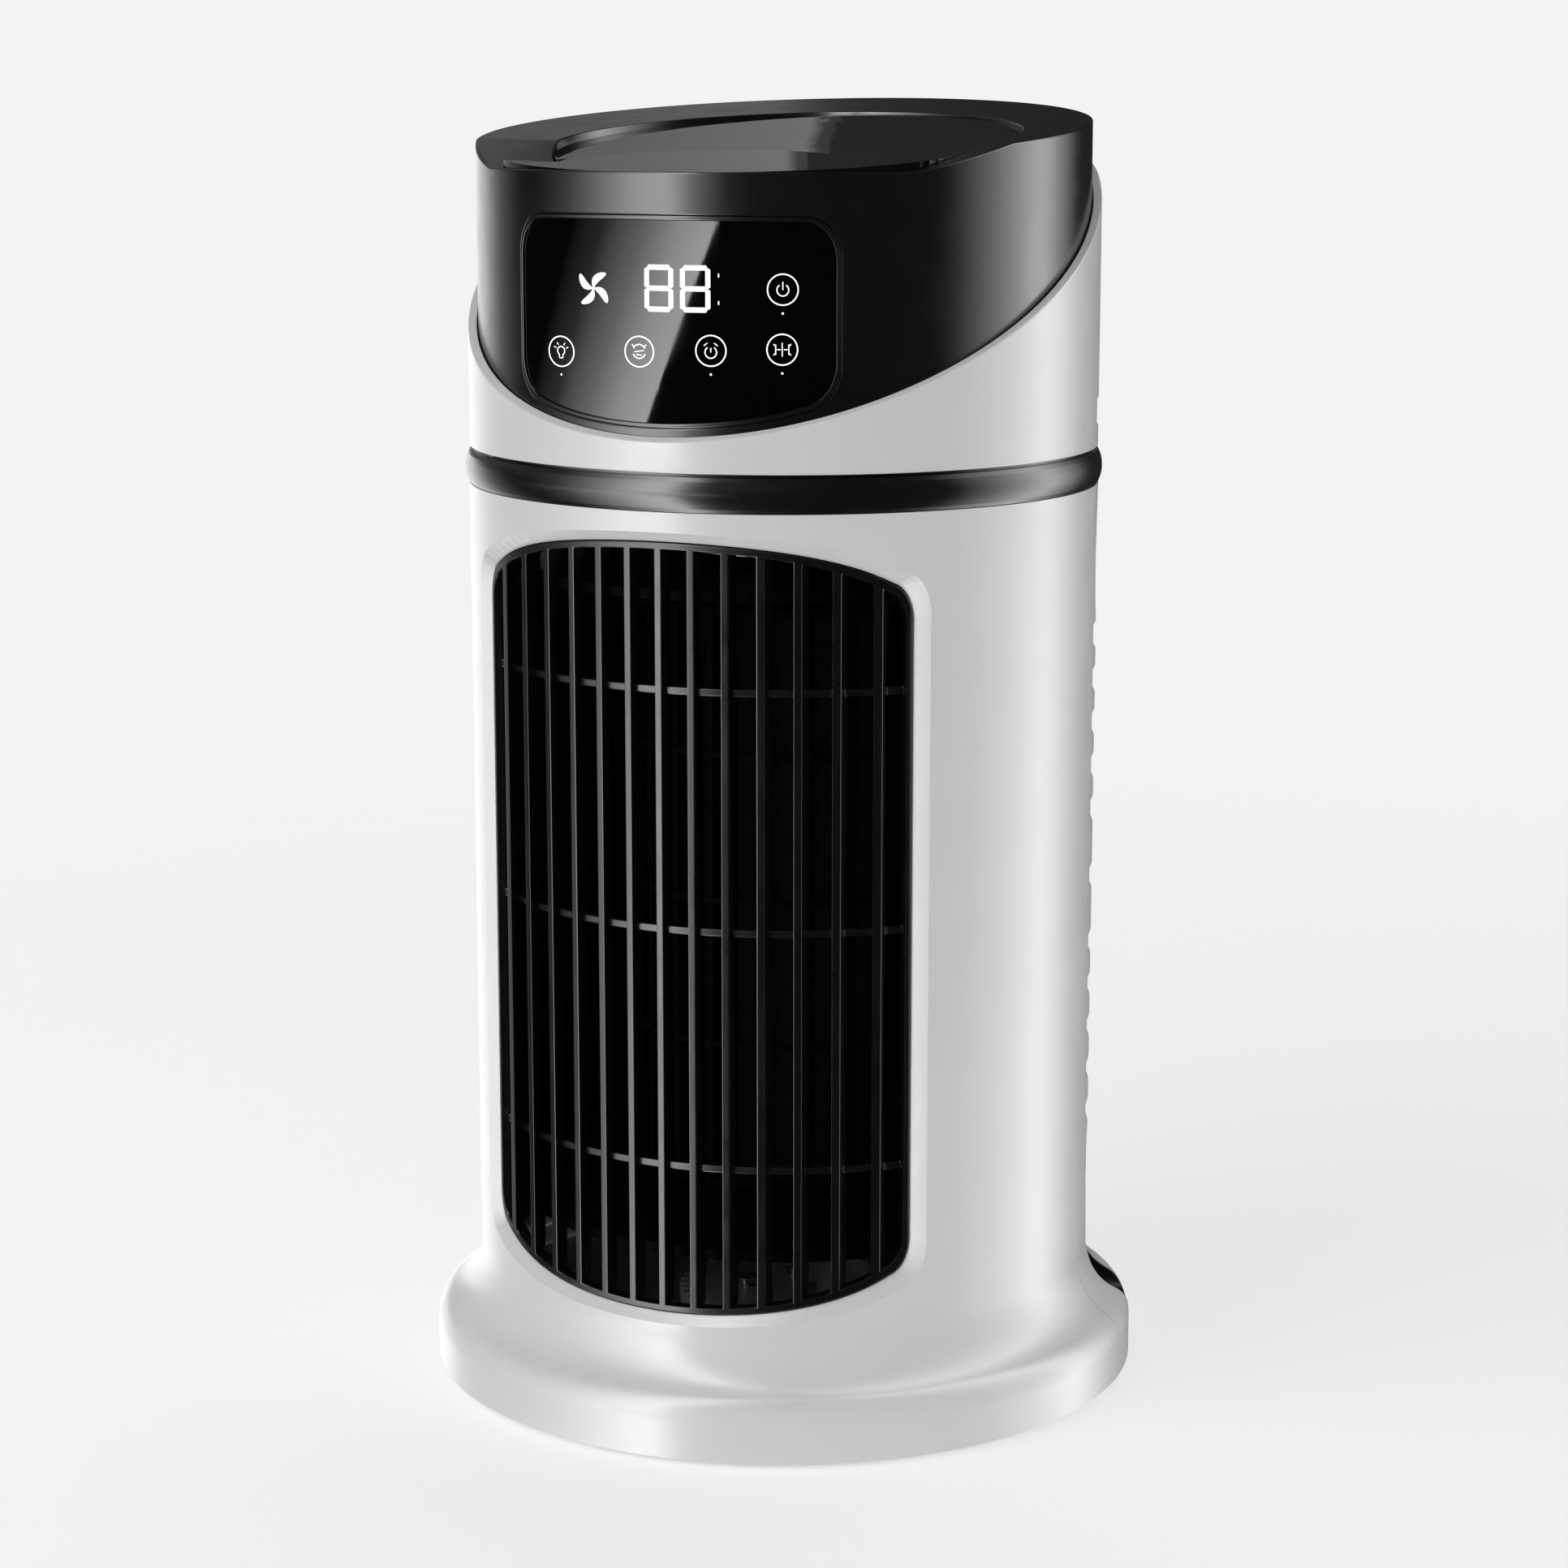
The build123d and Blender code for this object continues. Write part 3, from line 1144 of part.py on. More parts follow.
def main():
    """Build and write every node."""
    os.makedirs("parts", exist_ok=True)
    makers = [
        foot_plate, rubber_feet, glide_ring, thrust_washer, swing_gear, gear_screws,
        turntable, table_screws, swing_bracket, swing_motor, swing_screws, swing_pinion,
        front_housing, rear_housing, casing_screws, front_grille,
        dust_filter, lower_deck, upper_deck, scroll_wall, tongue_wall, bearing_grommet, lower_bush,
        blower_wheel, wheel_shaft, rotor_core, motor_can, motor_stator, motor_bearing, motor_bushes, motor_screws,
        mid_ring, head_floor, head_shell, head_screws, collar, top_cover,
        panel_bezel, panel_glass, display_board, digit_display, touch_springs, board_brackets,
        control_board, board_parts, board_screws, power_socket, socket_well, wire_loom,
    ]
    for maker in makers:
        save(maker.__name__, maker())


main()
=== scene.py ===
import json
import math

import bmesh
import bpy
from mathutils import Matrix, Vector


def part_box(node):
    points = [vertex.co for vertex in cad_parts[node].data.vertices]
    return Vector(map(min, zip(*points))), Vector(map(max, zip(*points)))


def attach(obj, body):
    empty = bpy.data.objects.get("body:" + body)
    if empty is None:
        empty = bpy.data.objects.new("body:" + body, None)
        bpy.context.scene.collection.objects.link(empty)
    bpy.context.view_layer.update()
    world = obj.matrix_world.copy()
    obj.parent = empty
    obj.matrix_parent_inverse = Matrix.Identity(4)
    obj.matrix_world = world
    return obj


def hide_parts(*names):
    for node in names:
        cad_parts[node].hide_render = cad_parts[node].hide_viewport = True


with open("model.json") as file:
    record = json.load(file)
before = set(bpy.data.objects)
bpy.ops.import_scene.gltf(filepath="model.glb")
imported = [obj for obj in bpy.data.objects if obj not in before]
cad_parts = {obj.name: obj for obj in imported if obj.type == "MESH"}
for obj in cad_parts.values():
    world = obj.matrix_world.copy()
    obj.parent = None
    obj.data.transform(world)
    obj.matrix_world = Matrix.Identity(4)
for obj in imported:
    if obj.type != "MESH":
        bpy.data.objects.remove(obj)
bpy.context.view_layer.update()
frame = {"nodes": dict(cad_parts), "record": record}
NODES = frame["nodes"]
MM = 0.001

# Angles in degrees at which edges count as sharp, get a broken edge, or are merged away
CREASE_ANGLE = 18.0
LID_CREASE = 1.1
EDGE_ANGLE = 40.0
FLAT_ANGLE = 0.3

# Edge sizes in millimetres, and the merging distance of a carried-over mesh
HEAD_EDGE = 0.35
TRIM_EDGE = 0.3
MERGE_GAP = 0.0005

# Round walls: the nodes, and how near to round, upright and even a face has to be
ROUND_SHELLS = ("rear_housing",)
PLAIN_WALLS = ("front_housing", "rear_housing")
# Parts inside the duct get a near-black, almost unreflecting finish: painted shade, darker than their
# own black plastic
PAINTED_SHADE_DUCT = ("lower_deck", "upper_deck", "scroll_wall", "tongue_wall", "dust_filter")
WALL_LIMIT = 0.9
ROUND_LIMIT = 0.14
SAME_REACH = 0.02

# Sloping edge round the outlet: where it lies, and the turn its hollowed face shows
BEVEL_REACH = 4.0
BEVEL_SIDE = math.radians(52.0)
BEVEL_FACING = (0.75, 0.95)
BEVEL_TURN = math.radians(45.0)

# Marks on the panel, in millimetres
MARK_PROUD = 0.03
MARK_SUNK = 0.03
RING_LINE = 0.30
ICON_LINE = 0.26
TOUCH_RING_R = 3.5
DIGIT_WIDTH = 7.4
DIGIT_HEIGHT = 10.9
DIGIT_BAR = 1.35
DIGIT_GAP = 1.5
FAN_BLADE = 4.2
DOT_R = 0.27
DOT_DROP = 5.4
TOUCH_ROW = 17.3
UPPER_ROW = 13.6
FAN_TURN = -13.2
DIGITS_TURN = 3.55

# Camera: lens in millimetres, place in metres, turn and tilt in degrees
VIEW_TURN = 22.5
VIEW_TILT = 11.062
CAMERA_LENS = 83.07
CAMERA_REACH = 0.90505
CAMERA_HEIGHT = 0.32597

# Studio light
LEFT_STRIP = 10.5
RIGHT_STRIP = 5.6
EDGE_STRIP = 1.7
LID_PATCH = 0.34
GLOSS_BASE = 0.02
SKY = 0.95
BACKDROP = 0.896
FLOOR = 0.8
FLOOR_GLOW = 0.36


# ------------------------------------------------------------------ finishes

def new_finish(name, colour, roughness, metallic=0.0, ior=1.5):
    """Material with one shader; returns it with its node tree and shader."""
    material = bpy.data.materials.new(name)
    material.use_nodes = True
    tree = material.node_tree
    shader = tree.nodes["Principled BSDF"]
    shader.inputs["Base Color"].default_value = (*colour, 1.0)
    shader.inputs["Roughness"].default_value = roughness
    shader.inputs["Metallic"].default_value = metallic
    shader.inputs["IOR"].default_value = ior
    return material, tree, shader


def cloud(tree, size, detail=2.0):
    """Noise whose patches are about this many millimetres across."""
    place = tree.nodes.new("ShaderNodeTexCoord")
    noise = tree.nodes.new("ShaderNodeTexNoise")
    noise.inputs["Scale"].default_value = 1.0 / (size * MM)
    noise.inputs["Detail"].default_value = detail
    tree.links.new(place.outputs["Object"], noise.inputs["Vector"])
    return noise.outputs["Fac"]


def tint(tree, shader, size, dark, light):
    """Slow drift of the colour between two close shades."""
    ramp = tree.nodes.new("ShaderNodeValToRGB")
    ramp.color_ramp.elements[0].position = 0.3
    ramp.color_ramp.elements[0].color = (*dark, 1.0)
    ramp.color_ramp.elements[1].position = 0.7
    ramp.color_ramp.elements[1].color = (*light, 1.0)
    tree.links.new(cloud(tree, size), ramp.inputs["Fac"])
    tree.links.new(ramp.outputs["Color"], shader.inputs["Base Color"])


def polish(tree, shader, size, smooth, dull):
    """Uneven gloss between two roughness values."""
    spread = tree.nodes.new("ShaderNodeMapRange")
    spread.inputs["From Min"].default_value = 0.3
    spread.inputs["From Max"].default_value = 0.7
    spread.inputs["To Min"].default_value = smooth
    spread.inputs["To Max"].default_value = dull
    tree.links.new(cloud(tree, size, 4.0), spread.inputs["Value"])
    tree.links.new(spread.outputs["Result"], shader.inputs["Roughness"])


def grain(tree, shader, size, depth, strength=0.5):
    """Fine surface texture of the tool or the weave."""
    bump = tree.nodes.new("ShaderNodeBump")
    bump.inputs["Strength"].default_value = strength
    bump.inputs["Distance"].default_value = depth * MM
    tree.links.new(cloud(tree, size, 3.0), bump.inputs["Height"])
    tree.links.new(bump.outputs["Normal"], shader.inputs["Normal"])


def moulded(name, dark, light, smooth, dull, grain_size, grain_depth, ior=1.5):
    """Injection-moulded plastic: slight flow marks, uneven gloss and a fine tool texture."""
    material, tree, shader = new_finish(name, light, dull, ior=ior)
    tint(tree, shader, 26.0, dark, light)
    polish(tree, shader, 9.0, smooth, dull)
    grain(tree, shader, grain_size, grain_depth, 0.35)
    return material


def metal(name, dark, light, smooth, dull, scratch=0.4):
    """Plated or ground metal with fine scratches."""
    material, tree, shader = new_finish(name, light, dull, metallic=1.0)
    tint(tree, shader, 5.0, dark, light)
    polish(tree, shader, 1.5, smooth, dull)
    grain(tree, shader, scratch, 0.01, 0.3)
    return material


def grey(value, warm=0.0):
    """Neutral colour, a little warmer or cooler."""
    return (value * (1 + warm), value, value * (1 - warm))


def cloth(name, thread):
    """Open plain-weave filter mesh."""
    material, tree, shader = new_finish(name, thread, 0.85)
    place = tree.nodes.new("ShaderNodeTexCoord")
    weave = tree.nodes.new("ShaderNodeTexVoronoi")
    weave.inputs["Scale"].default_value = 1.0 / (0.9 * MM)
    tree.links.new(place.outputs["Object"], weave.inputs["Vector"])
    ramp = tree.nodes.new("ShaderNodeValToRGB")
    ramp.color_ramp.elements[0].color = (*grey(0.03), 1.0)
    ramp.color_ramp.elements[1].color = (*grey(0.008), 1.0)
    tree.links.new(weave.outputs["Distance"], ramp.inputs["Fac"])
    tree.links.new(ramp.outputs["Color"], shader.inputs["Base Color"])
    bump = tree.nodes.new("ShaderNodeBump")
    bump.inputs["Strength"].default_value = 0.6
    bump.inputs["Distance"].default_value = 0.2 * MM
    tree.links.new(weave.outputs["Distance"], bump.inputs["Height"])
    tree.links.new(bump.outputs["Normal"], shader.inputs["Normal"])
    return material


def lit_marks(name):
    """White marks that glow a little behind the dark glass."""
    material, tree, shader = new_finish(name, grey(0.85), 0.5)
    tint(tree, shader, 3.0, grey(0.80), grey(0.88))
    grain(tree, shader, 0.4, 0.004, 0.2)
    shader.inputs["Emission Color"].default_value = (1.0, 1.0, 1.0, 1.0)
    shader.inputs["Emission Strength"].default_value = 0.75
    return material


def copper_winding(name):
    """Enamelled wire laid in even turns."""
    material, tree, shader = new_finish(name, (0.55, 0.20, 0.08), 0.35, metallic=1.0)
    place = tree.nodes.new("ShaderNodeTexCoord")
    wave = tree.nodes.new("ShaderNodeTexWave")
    wave.bands_direction = "Z"
    wave.inputs["Scale"].default_value = 1.0 / (1.6 * MM)
    wave.inputs["Distortion"].default_value = 0.6
    tree.links.new(place.outputs["Object"], wave.inputs["Vector"])
    ramp = tree.nodes.new("ShaderNodeValToRGB")
    ramp.color_ramp.elements[0].color = (0.25, 0.08, 0.03, 1.0)
    ramp.color_ramp.elements[1].color = (0.62, 0.25, 0.10, 1.0)
    tree.links.new(wave.outputs["Fac"], ramp.inputs["Fac"])
    tree.links.new(ramp.outputs["Color"], shader.inputs["Base Color"])
    return material


def make_finishes():
    """One material for each slot of the record."""
    black = moulded("black_gloss", grey(0.0045), grey(0.0058), 0.20, 0.26, 0.5, 0.0012, 1.56)
    glass, tree, shader = new_finish("black_glass", grey(0.0008), 0.02, ior=1.42)
    tint(tree, shader, 30.0, grey(0.0006), grey(0.0010))
    polish(tree, shader, 12.0, 0.012, 0.03)
    # Near-black finish with almost no gloss for the duct parts and the blower wheel: painted shade, so
    # that the inside behind the grille stays dark
    shaded_duct, tree, shader = new_finish("duct_painted_shade", grey(0.0006), 0.7)
    shader.inputs["Specular IOR Level"].default_value = 0.03
    tint(tree, shader, 12.0, grey(0.0004), grey(0.0008))
    polish(tree, shader, 4.0, 0.62, 0.78)
    grain(tree, shader, 0.4, 0.006)
    lid = moulded("lid_black", grey(0.0045), grey(0.0058), 0.025, 0.035, 0.8, 0.0002, 1.5)
    return {
        "duct_painted_shade": shaded_duct,
        "lid_black": lid,
        "white_gloss": moulded(
            "white_gloss", (0.765, 0.772, 0.785), (0.79, 0.796, 0.806), 0.21, 0.27, 0.6, 0.0012
        ),
        "black_gloss": black,
        "black_glass": glass,
        "black_satin": moulded("black_satin", grey(0.0035), grey(0.0050), 0.26, 0.34, 0.3, 0.004),
        # The blower wheel wears the same painted-shade finish
        "wheel_plastic": shaded_duct,
        "base_plastic": moulded("base_plastic", grey(0.60), grey(0.66), 0.40, 0.50, 0.3, 0.006),
        "gear_plastic": moulded(
            "gear_plastic", grey(0.70, 0.03), grey(0.78, 0.03), 0.30, 0.40, 0.4, 0.004
        ),
        "filter_cloth": cloth("filter_cloth", grey(0.02)),
        "rubber": moulded("rubber", grey(0.012), grey(0.02), 0.70, 0.85, 0.25, 0.02),
        "steel": metal("steel", grey(0.46), grey(0.56), 0.16, 0.28),
        "zinc": metal("zinc", grey(0.50, -0.01), grey(0.62, -0.01), 0.25, 0.42, 0.8),
        "screw_steel": metal("screw_steel", grey(0.40), grey(0.50), 0.22, 0.36),
        "bronze": metal("bronze", (0.42, 0.26, 0.10), (0.52, 0.34, 0.15), 0.30, 0.45, 0.3),
        "copper": copper_winding("copper"),
        "magnet": moulded("magnet", grey(0.03), grey(0.05), 0.50, 0.65, 0.3, 0.02),
        "board_green": moulded(
            "board_green", (0.006, 0.07, 0.025), (0.010, 0.10, 0.035), 0.22, 0.34, 0.9, 0.01
        ),
        "parts_black": moulded("parts_black", grey(0.010), grey(0.018), 0.35, 0.50, 0.3, 0.006),
        "display_white": lit_marks("display_white"),
        "spring_steel": metal("spring_steel", grey(0.55, 0.01), grey(0.66, 0.01), 0.20, 0.32),
        "loom_black": moulded("loom_black", grey(0.008), grey(0.014), 0.50, 0.65, 0.5, 0.03),
    }


def paint(piece, material):
    """The piece wears one material all over."""
    piece.data.materials.clear()
    piece.data.materials.append(material)


# -------------------------------------------------------------------- shapes

def finish_piece(bm, name, slot, body="tower", crease=CREASE_ANGLE):
    """Makes the mesh an object that rides on a body and wears its slot's material."""
    mesh = bpy.data.meshes.new(name)
    bm.to_mesh(mesh)
    bm.free()
    piece = bpy.data.objects.new(name, mesh)
    bpy.context.scene.collection.objects.link(piece)
    for face in mesh.polygons:
        face.use_smooth = True
    mesh.set_sharp_from_angle(angle=math.radians(crease))
    paint(piece, FINISHES[slot])
    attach(piece, body)
    return piece


def on_outlet_bevel(face, spot, facing):
    """Whether this corner belongs to the sloping edge round the air outlet."""
    turn = abs(math.atan2(spot.x, -spot.y))
    upright = GRILLE_LOW.z - BEVEL_REACH * MM < spot.z < GRILLE_HIGH.z + BEVEL_REACH * MM
    return upright and turn < BEVEL_SIDE and BEVEL_FACING[0] < facing < BEVEL_FACING[1]


def true_round(mesh, plain_walls):
    """Upright walls turned about the fan's axis get normals with no sideways error.

    On plain walls, a face that keeps one distance from the axis points straight out or straight in.
    """
    normals = [corner.vector.copy() for corner in mesh.corner_normals]
    for face in mesh.polygons:
        spots = [mesh.vertices[index].co for index in face.vertices]
        reaches = [math.hypot(spot.x, spot.y) for spot in spots]
        plain = plain_walls and max(reaches) - min(reaches) < SAME_REACH * MM
        for loop, spot in zip(face.loop_indices, spots):
            outward = Vector((spot.x, spot.y, 0.0)).normalized()
            facing = face.normal.dot(outward)
            if plain and abs(facing) > WALL_LIMIT:
                normals[loop] = outward * math.copysign(1.0, facing)
                continue
            if plain_walls and on_outlet_bevel(face, spot, facing):
                aside = (face.normal - outward * facing).normalized()
                normals[loop] = outward * math.cos(BEVEL_TURN) + aside * math.sin(BEVEL_TURN)
                continue
            sideways = Vector((-outward.y, outward.x, 0.0))
            error = normals[loop].dot(sideways)
            if abs(normals[loop].z) < WALL_LIMIT and abs(error) < ROUND_LIMIT:
                normals[loop] = (normals[loop] - sideways * error).normalized()
    mesh.normals_split_custom_set(normals)


def even_out(bm):
    """Turns the long diagonals of the unrolled round walls, so that none bridges the curve."""
    places = {vert: vert.co.copy() for vert in bm.verts}
    for vert, spot in places.items():
        reach = math.hypot(spot.x, spot.y)
        vert.co = Vector((math.atan2(spot.x, -spot.y) % math.tau * reach, spot.z, reach))
    walls = []
    for face in bm.faces:
        reaches = [vert.co.z for vert in face.verts]
        if max(reaches) - min(reaches) < SAME_REACH * MM:
            walls.append(face)
    inside = set(walls)
    turnable = [
        edge for face in walls for edge in face.edges
        if len(edge.link_faces) == 2 and all(other in inside for other in edge.link_faces)
    ]
    bmesh.ops.beautify_fill(bm, faces=walls, edges=list(set(turnable)), method="AREA")
    for vert, spot in places.items():
        vert.co = spot


def skin(node, edge=0.0, crease=CREASE_ANGLE, flat=FLAT_ANGLE):
    """Smooth-shaded stand-in for a CAD node; a given edge size breaks its sharp edges."""
    bm = bmesh.new()
    bm.from_mesh(NODES[node].data)
    bmesh.ops.remove_doubles(bm, verts=bm.verts, dist=MERGE_GAP * MM)
    if node in ROUND_SHELLS:
        even_out(bm)
    if flat:
        bmesh.ops.dissolve_limit(bm, angle_limit=math.radians(flat), verts=bm.verts, edges=bm.edges)
    if edge:
        limit = math.radians(EDGE_ANGLE)
        sharp = [e for e in bm.edges if len(e.link_faces) == 2 and e.calc_face_angle() > limit]
        bmesh.ops.bevel(
            bm, geom=sharp, offset=edge * MM, segments=2, profile=0.5, affect="EDGES",
            clamp_overlap=False, material=-1,
        )
    piece = finish_piece(bm, node + "_skin", SLOT_OF[node], BODY_OF[node], crease)
    true_round(piece.data, node in PLAIN_WALLS)
    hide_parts(node)
    return piece


# ------------------------------------------------------------- panel marks

def wrap(bm, radius, proud):
    """Bends a flat drawing round the front: x runs along the arc, y is up, z is the depth."""
    for vert in bm.verts:
        turn = vert.co.x / (radius / MM)
        reach = radius + (vert.co.z + proud) * MM
        height = vert.co.y * MM
        vert.co = Vector((reach * math.sin(turn), -reach * math.cos(turn), height))


def thicken(bm, faces):
    """Gives the flat faces the depth of a printed or moulded mark."""
    grown = bmesh.ops.extrude_face_region(bm, geom=faces)
    lifted = [v for v in grown["geom"] if isinstance(v, bmesh.types.BMVert)]
    bmesh.ops.translate(bm, verts=lifted, vec=(0, 0, MARK_PROUD + MARK_SUNK))


def ring(bm, x, y, radius, width):
    """Flat ring."""
    inner = bmesh.ops.create_circle(bm, segments=56, radius=radius - width / 2)["verts"]
    outer = bmesh.ops.create_circle(bm, segments=56, radius=radius + width / 2)["verts"]
    bmesh.ops.translate(bm, verts=inner + outer, vec=(x, y, 0))
    edges = list({edge for vert in inner + outer for edge in vert.link_edges})
    return bmesh.ops.bridge_loops(bm, edges=edges)["faces"]


def disc(bm, x, y, radius, segments=20):
    """Flat dot."""
    made = bmesh.ops.create_circle(bm, cap_ends=True, segments=segments, radius=radius)
    bmesh.ops.translate(bm, verts=made["verts"], vec=(x, y, 0))
    return [made["verts"][0].link_faces[0]]


def bar(bm, x, y, length, width, angle=0.0, ends=6):
    """Flat bar with pointed or rounded ends, lying along x before its turn."""
    made = bmesh.ops.create_circle(
        bm, cap_ends=True, segments=ends, radius=width / 2, matrix=Matrix.Rotation(math.pi / 2, 4, "Z")
    )
    spare = (length - width) / 2
    for vert in made["verts"]:
        vert.co.x += math.copysign(spare, vert.co.x)
    turn = Matrix.Rotation(math.radians(angle), 4, "Z")
    bmesh.ops.transform(bm, matrix=Matrix.Translation((x, y, 0)) @ turn, verts=made["verts"])
    return [made["verts"][0].link_faces[0]]


def arc(bm, x, y, radius, width, start, end, steps=20):
    """Flat arc between two angles, measured from +x."""
    a = math.radians(start)
    inner = bm.verts.new(((radius - width / 2) * math.cos(a), (radius - width / 2) * math.sin(a), 0))
    outer = bm.verts.new(((radius + width / 2) * math.cos(a), (radius + width / 2) * math.sin(a), 0))
    first = bm.edges.new((inner, outer))
    before = set(bm.faces)
    bmesh.ops.spin(
        bm, geom=[inner, outer, first], cent=(0, 0, 0), axis=(0, 0, 1),
        angle=math.radians(end - start), steps=steps, use_duplicate=False,
    )
    faces = [f for f in bm.faces if f not in before]
    verts = list({v for f in faces for v in f.verts})
    bmesh.ops.translate(bm, verts=verts, vec=(x, y, 0))
    return faces


def digit(bm, x, y):
    """Seven-segment figure with every segment lit."""
    faces = []
    across = DIGIT_WIDTH - DIGIT_BAR
    up = (DIGIT_HEIGHT - DIGIT_BAR) / 2
    for row in (-1, 0, 1):
        faces += bar(bm, x, y + row * up, across - 0.25, DIGIT_BAR)
    for side in (-1, 1):
        for half in (-0.5, 0.5):
            faces += bar(bm, x + side * across / 2, y + half * up, up - 0.1, DIGIT_BAR, 90)
    return faces


def fan_symbol(bm, x, y):
    """Four swept blades."""
    faces = []
    for quarter in range(4):
        made = bmesh.ops.create_circle(bm, cap_ends=True, segments=24, radius=1.0)
        for vert in made["verts"]:
            out = FAN_BLADE / 2 * (vert.co.y + 1.0)
            across = 1.5 * vert.co.x * (0.25 + 0.75 * out / FAN_BLADE)
            vert.co = Vector((across + 0.17 * out * out - 0.25 * out, out + 0.1, 0))
        turn = Matrix.Rotation(math.radians(90 * quarter - 14), 4, "Z")
        bmesh.ops.transform(bm, matrix=Matrix.Translation((x, y, 0)) @ turn, verts=made["verts"])
        faces.append(made["verts"][0].link_faces[0])
    return faces + disc(bm, x, y, 0.36)


def bulb_symbol(bm, x, y):
    """Lamp with rays."""
    faces = arc(bm, x, y + 0.15, 1.0, ICON_LINE, -55, 235)
    for side in (-1, 1):
        faces += bar(bm, x + side * 0.5, y - 1.0, 0.75, ICON_LINE, 90)
    faces += bar(bm, x, y - 1.5, 1.1, ICON_LINE)
    for angle in (25, 60, 120, 155):
        dx, dy = 1.85 * math.cos(math.radians(angle)), 1.85 * math.sin(math.radians(angle))
        faces += bar(bm, x + dx, y + 0.15 + dy, 0.7, ICON_LINE, angle)
    return faces


def breeze_symbol(bm, x, y):
    """Cool air: a round outline over two ripples."""
    faces = arc(bm, x, y, 1.55, ICON_LINE, -160, -20)
    faces += arc(bm, x, y + 0.1, 1.55, ICON_LINE, 25, 155)
    faces += bar(bm, x, y + 0.1, 2.4, ICON_LINE, 8)
    faces += bar(bm, x, y - 0.75, 1.5, ICON_LINE, -6)
    for side in (-1, 1):
        faces += bar(bm, x + side * 1.5, y + 1.35, 0.8, ICON_LINE, 90 - side * 35)
    return faces


def timer_symbol(bm, x, y):
    """Clock face with two bells and a hand."""
    faces = arc(bm, x, y - 0.35, 1.35, ICON_LINE, 125, 415)
    faces += bar(bm, x, y + 0.15, 1.1, ICON_LINE, 90)
    for side in (-1, 1):
        faces += bar(bm, x + side * 1.2, y + 1.45, 1.1, ICON_LINE, -side * 40)
    return faces


def swing_symbol(bm, x, y):
    """Two turning arrows on each side of a centre line."""
    faces = bar(bm, x, y, 3.2, ICON_LINE, 90)
    for side in (-1, 1):
        faces += bar(bm, x + side * 1.5, y, 2.4, ICON_LINE, 90)
        faces += bar(bm, x + side * 0.8, y, 0.9, ICON_LINE)
        faces += bar(bm, x + side * 1.75, y + 1.0, 0.8, ICON_LINE, side * 45)
        faces += bar(bm, x + side * 1.75, y - 1.0, 0.8, ICON_LINE, -side * 45)
    return faces


def power_symbol(bm, x, y):
    """Open circle with a bar."""
    return arc(bm, x, y - 0.1, 1.35, ICON_LINE, 125, 415) + bar(bm, x, y + 0.85, 1.9, ICON_LINE, 90)


def verts_of(faces):
    """All the corners of these faces, each once."""
    return list({vert for face in faces for vert in face.verts})


def widen(bm, faces, turn):
    """Marks towards the left are drawn a little wide, to read as round from the front right."""
    stretch = math.cos(math.radians(turn - VIEW_TURN)) ** -0.6
    bmesh.ops.scale(bm, verts=verts_of(faces), vec=(stretch, 1.0, 1.0))


def slide(bm, faces, x):
    """Moves a drawing along the arc."""
    bmesh.ops.translate(bm, verts=verts_of(faces), vec=(x, 0.0, 0.0))


def make_panel_marks():
    """The lit figures and touch symbols on the front of the glass."""
    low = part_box("panel_glass")[0]
    radius = -low.y
    arc_mm = math.radians(1.0) * radius / MM
    row = low.z / MM + TOUCH_ROW
    upper = row + UPPER_ROW
    bm = bmesh.new()
    faces = []
    symbols = (
        (-21.1, row - 1.9, bulb_symbol, True),
        (-3.7, row - 1.0, breeze_symbol, False),
        (9.7, row - 0.4, timer_symbol, True),
        (22.2, row, swing_symbol, True),
        (22.3, upper, power_symbol, True),
    )
    for turn, height, symbol, dot in symbols:
        drawn = ring(bm, 0.0, height, TOUCH_RING_R, RING_LINE) + symbol(bm, 0.0, height)
        widen(bm, drawn, turn)
        slide(bm, drawn, turn * arc_mm)
        faces += drawn
        if dot:
            faces += disc(bm, turn * arc_mm, height - DOT_DROP, DOT_R, 12)
    drawn = fan_symbol(bm, 0.0, upper - 0.5)
    widen(bm, drawn, FAN_TURN)
    slide(bm, drawn, FAN_TURN * arc_mm)
    faces += drawn
    middle = DIGITS_TURN * arc_mm
    for side in (-1, 1):
        faces += digit(bm, middle + side * (DIGIT_WIDTH + DIGIT_GAP) / 2, upper)
    for step in (-1, 1):
        faces += bar(bm, middle + DIGIT_WIDTH + 2.6, upper + 3.1 * step, 0.9, 0.34, 90)
    thicken(bm, faces)
    bmesh.ops.subdivide_edges(
        bm, edges=[e for e in bm.edges if e.calc_length() > 2.0], cuts=2, use_grid_fill=False
    )
    wrap(bm, radius, -MARK_SUNK)
    bmesh.ops.recalc_face_normals(bm, faces=bm.faces)
    return finish_piece(bm, "panel_marks", "display_white")


# --------------------------------------------------------------------- studio

def place_camera():
    """Camera a little round to the +X side, looking slightly down."""
    lens = bpy.data.cameras.new("camera")
    lens.lens = CAMERA_LENS
    lens.sensor_width = 36.0
    lens.clip_start = 0.05
    camera = bpy.data.objects.new("camera", lens)
    turn = math.radians(VIEW_TURN)
    camera.location = (CAMERA_REACH * math.sin(turn), -CAMERA_REACH * math.cos(turn), CAMERA_HEIGHT)
    camera.rotation_euler = (math.radians(90.0 - VIEW_TILT), 0.0, turn)
    bpy.context.scene.collection.objects.link(camera)
    bpy.context.scene.camera = camera


def math_node(tree, operation, first, second=None):
    """Math node with each input a socket or a number."""
    node = tree.nodes.new("ShaderNodeMath")
    node.operation = operation
    for index, value in enumerate((first, second)):
        if isinstance(value, bpy.types.NodeSocket):
            tree.links.new(value, node.inputs[index])
        elif value is not None:
            node.inputs[index].default_value = value
    return node.outputs[0]


def in_degrees(tree, operation, first, second=None):
    """Angle in degrees from an inverse trigonometric node."""
    return math_node(tree, "MULTIPLY", math_node(tree, operation, first, second), 180.0 / math.pi)


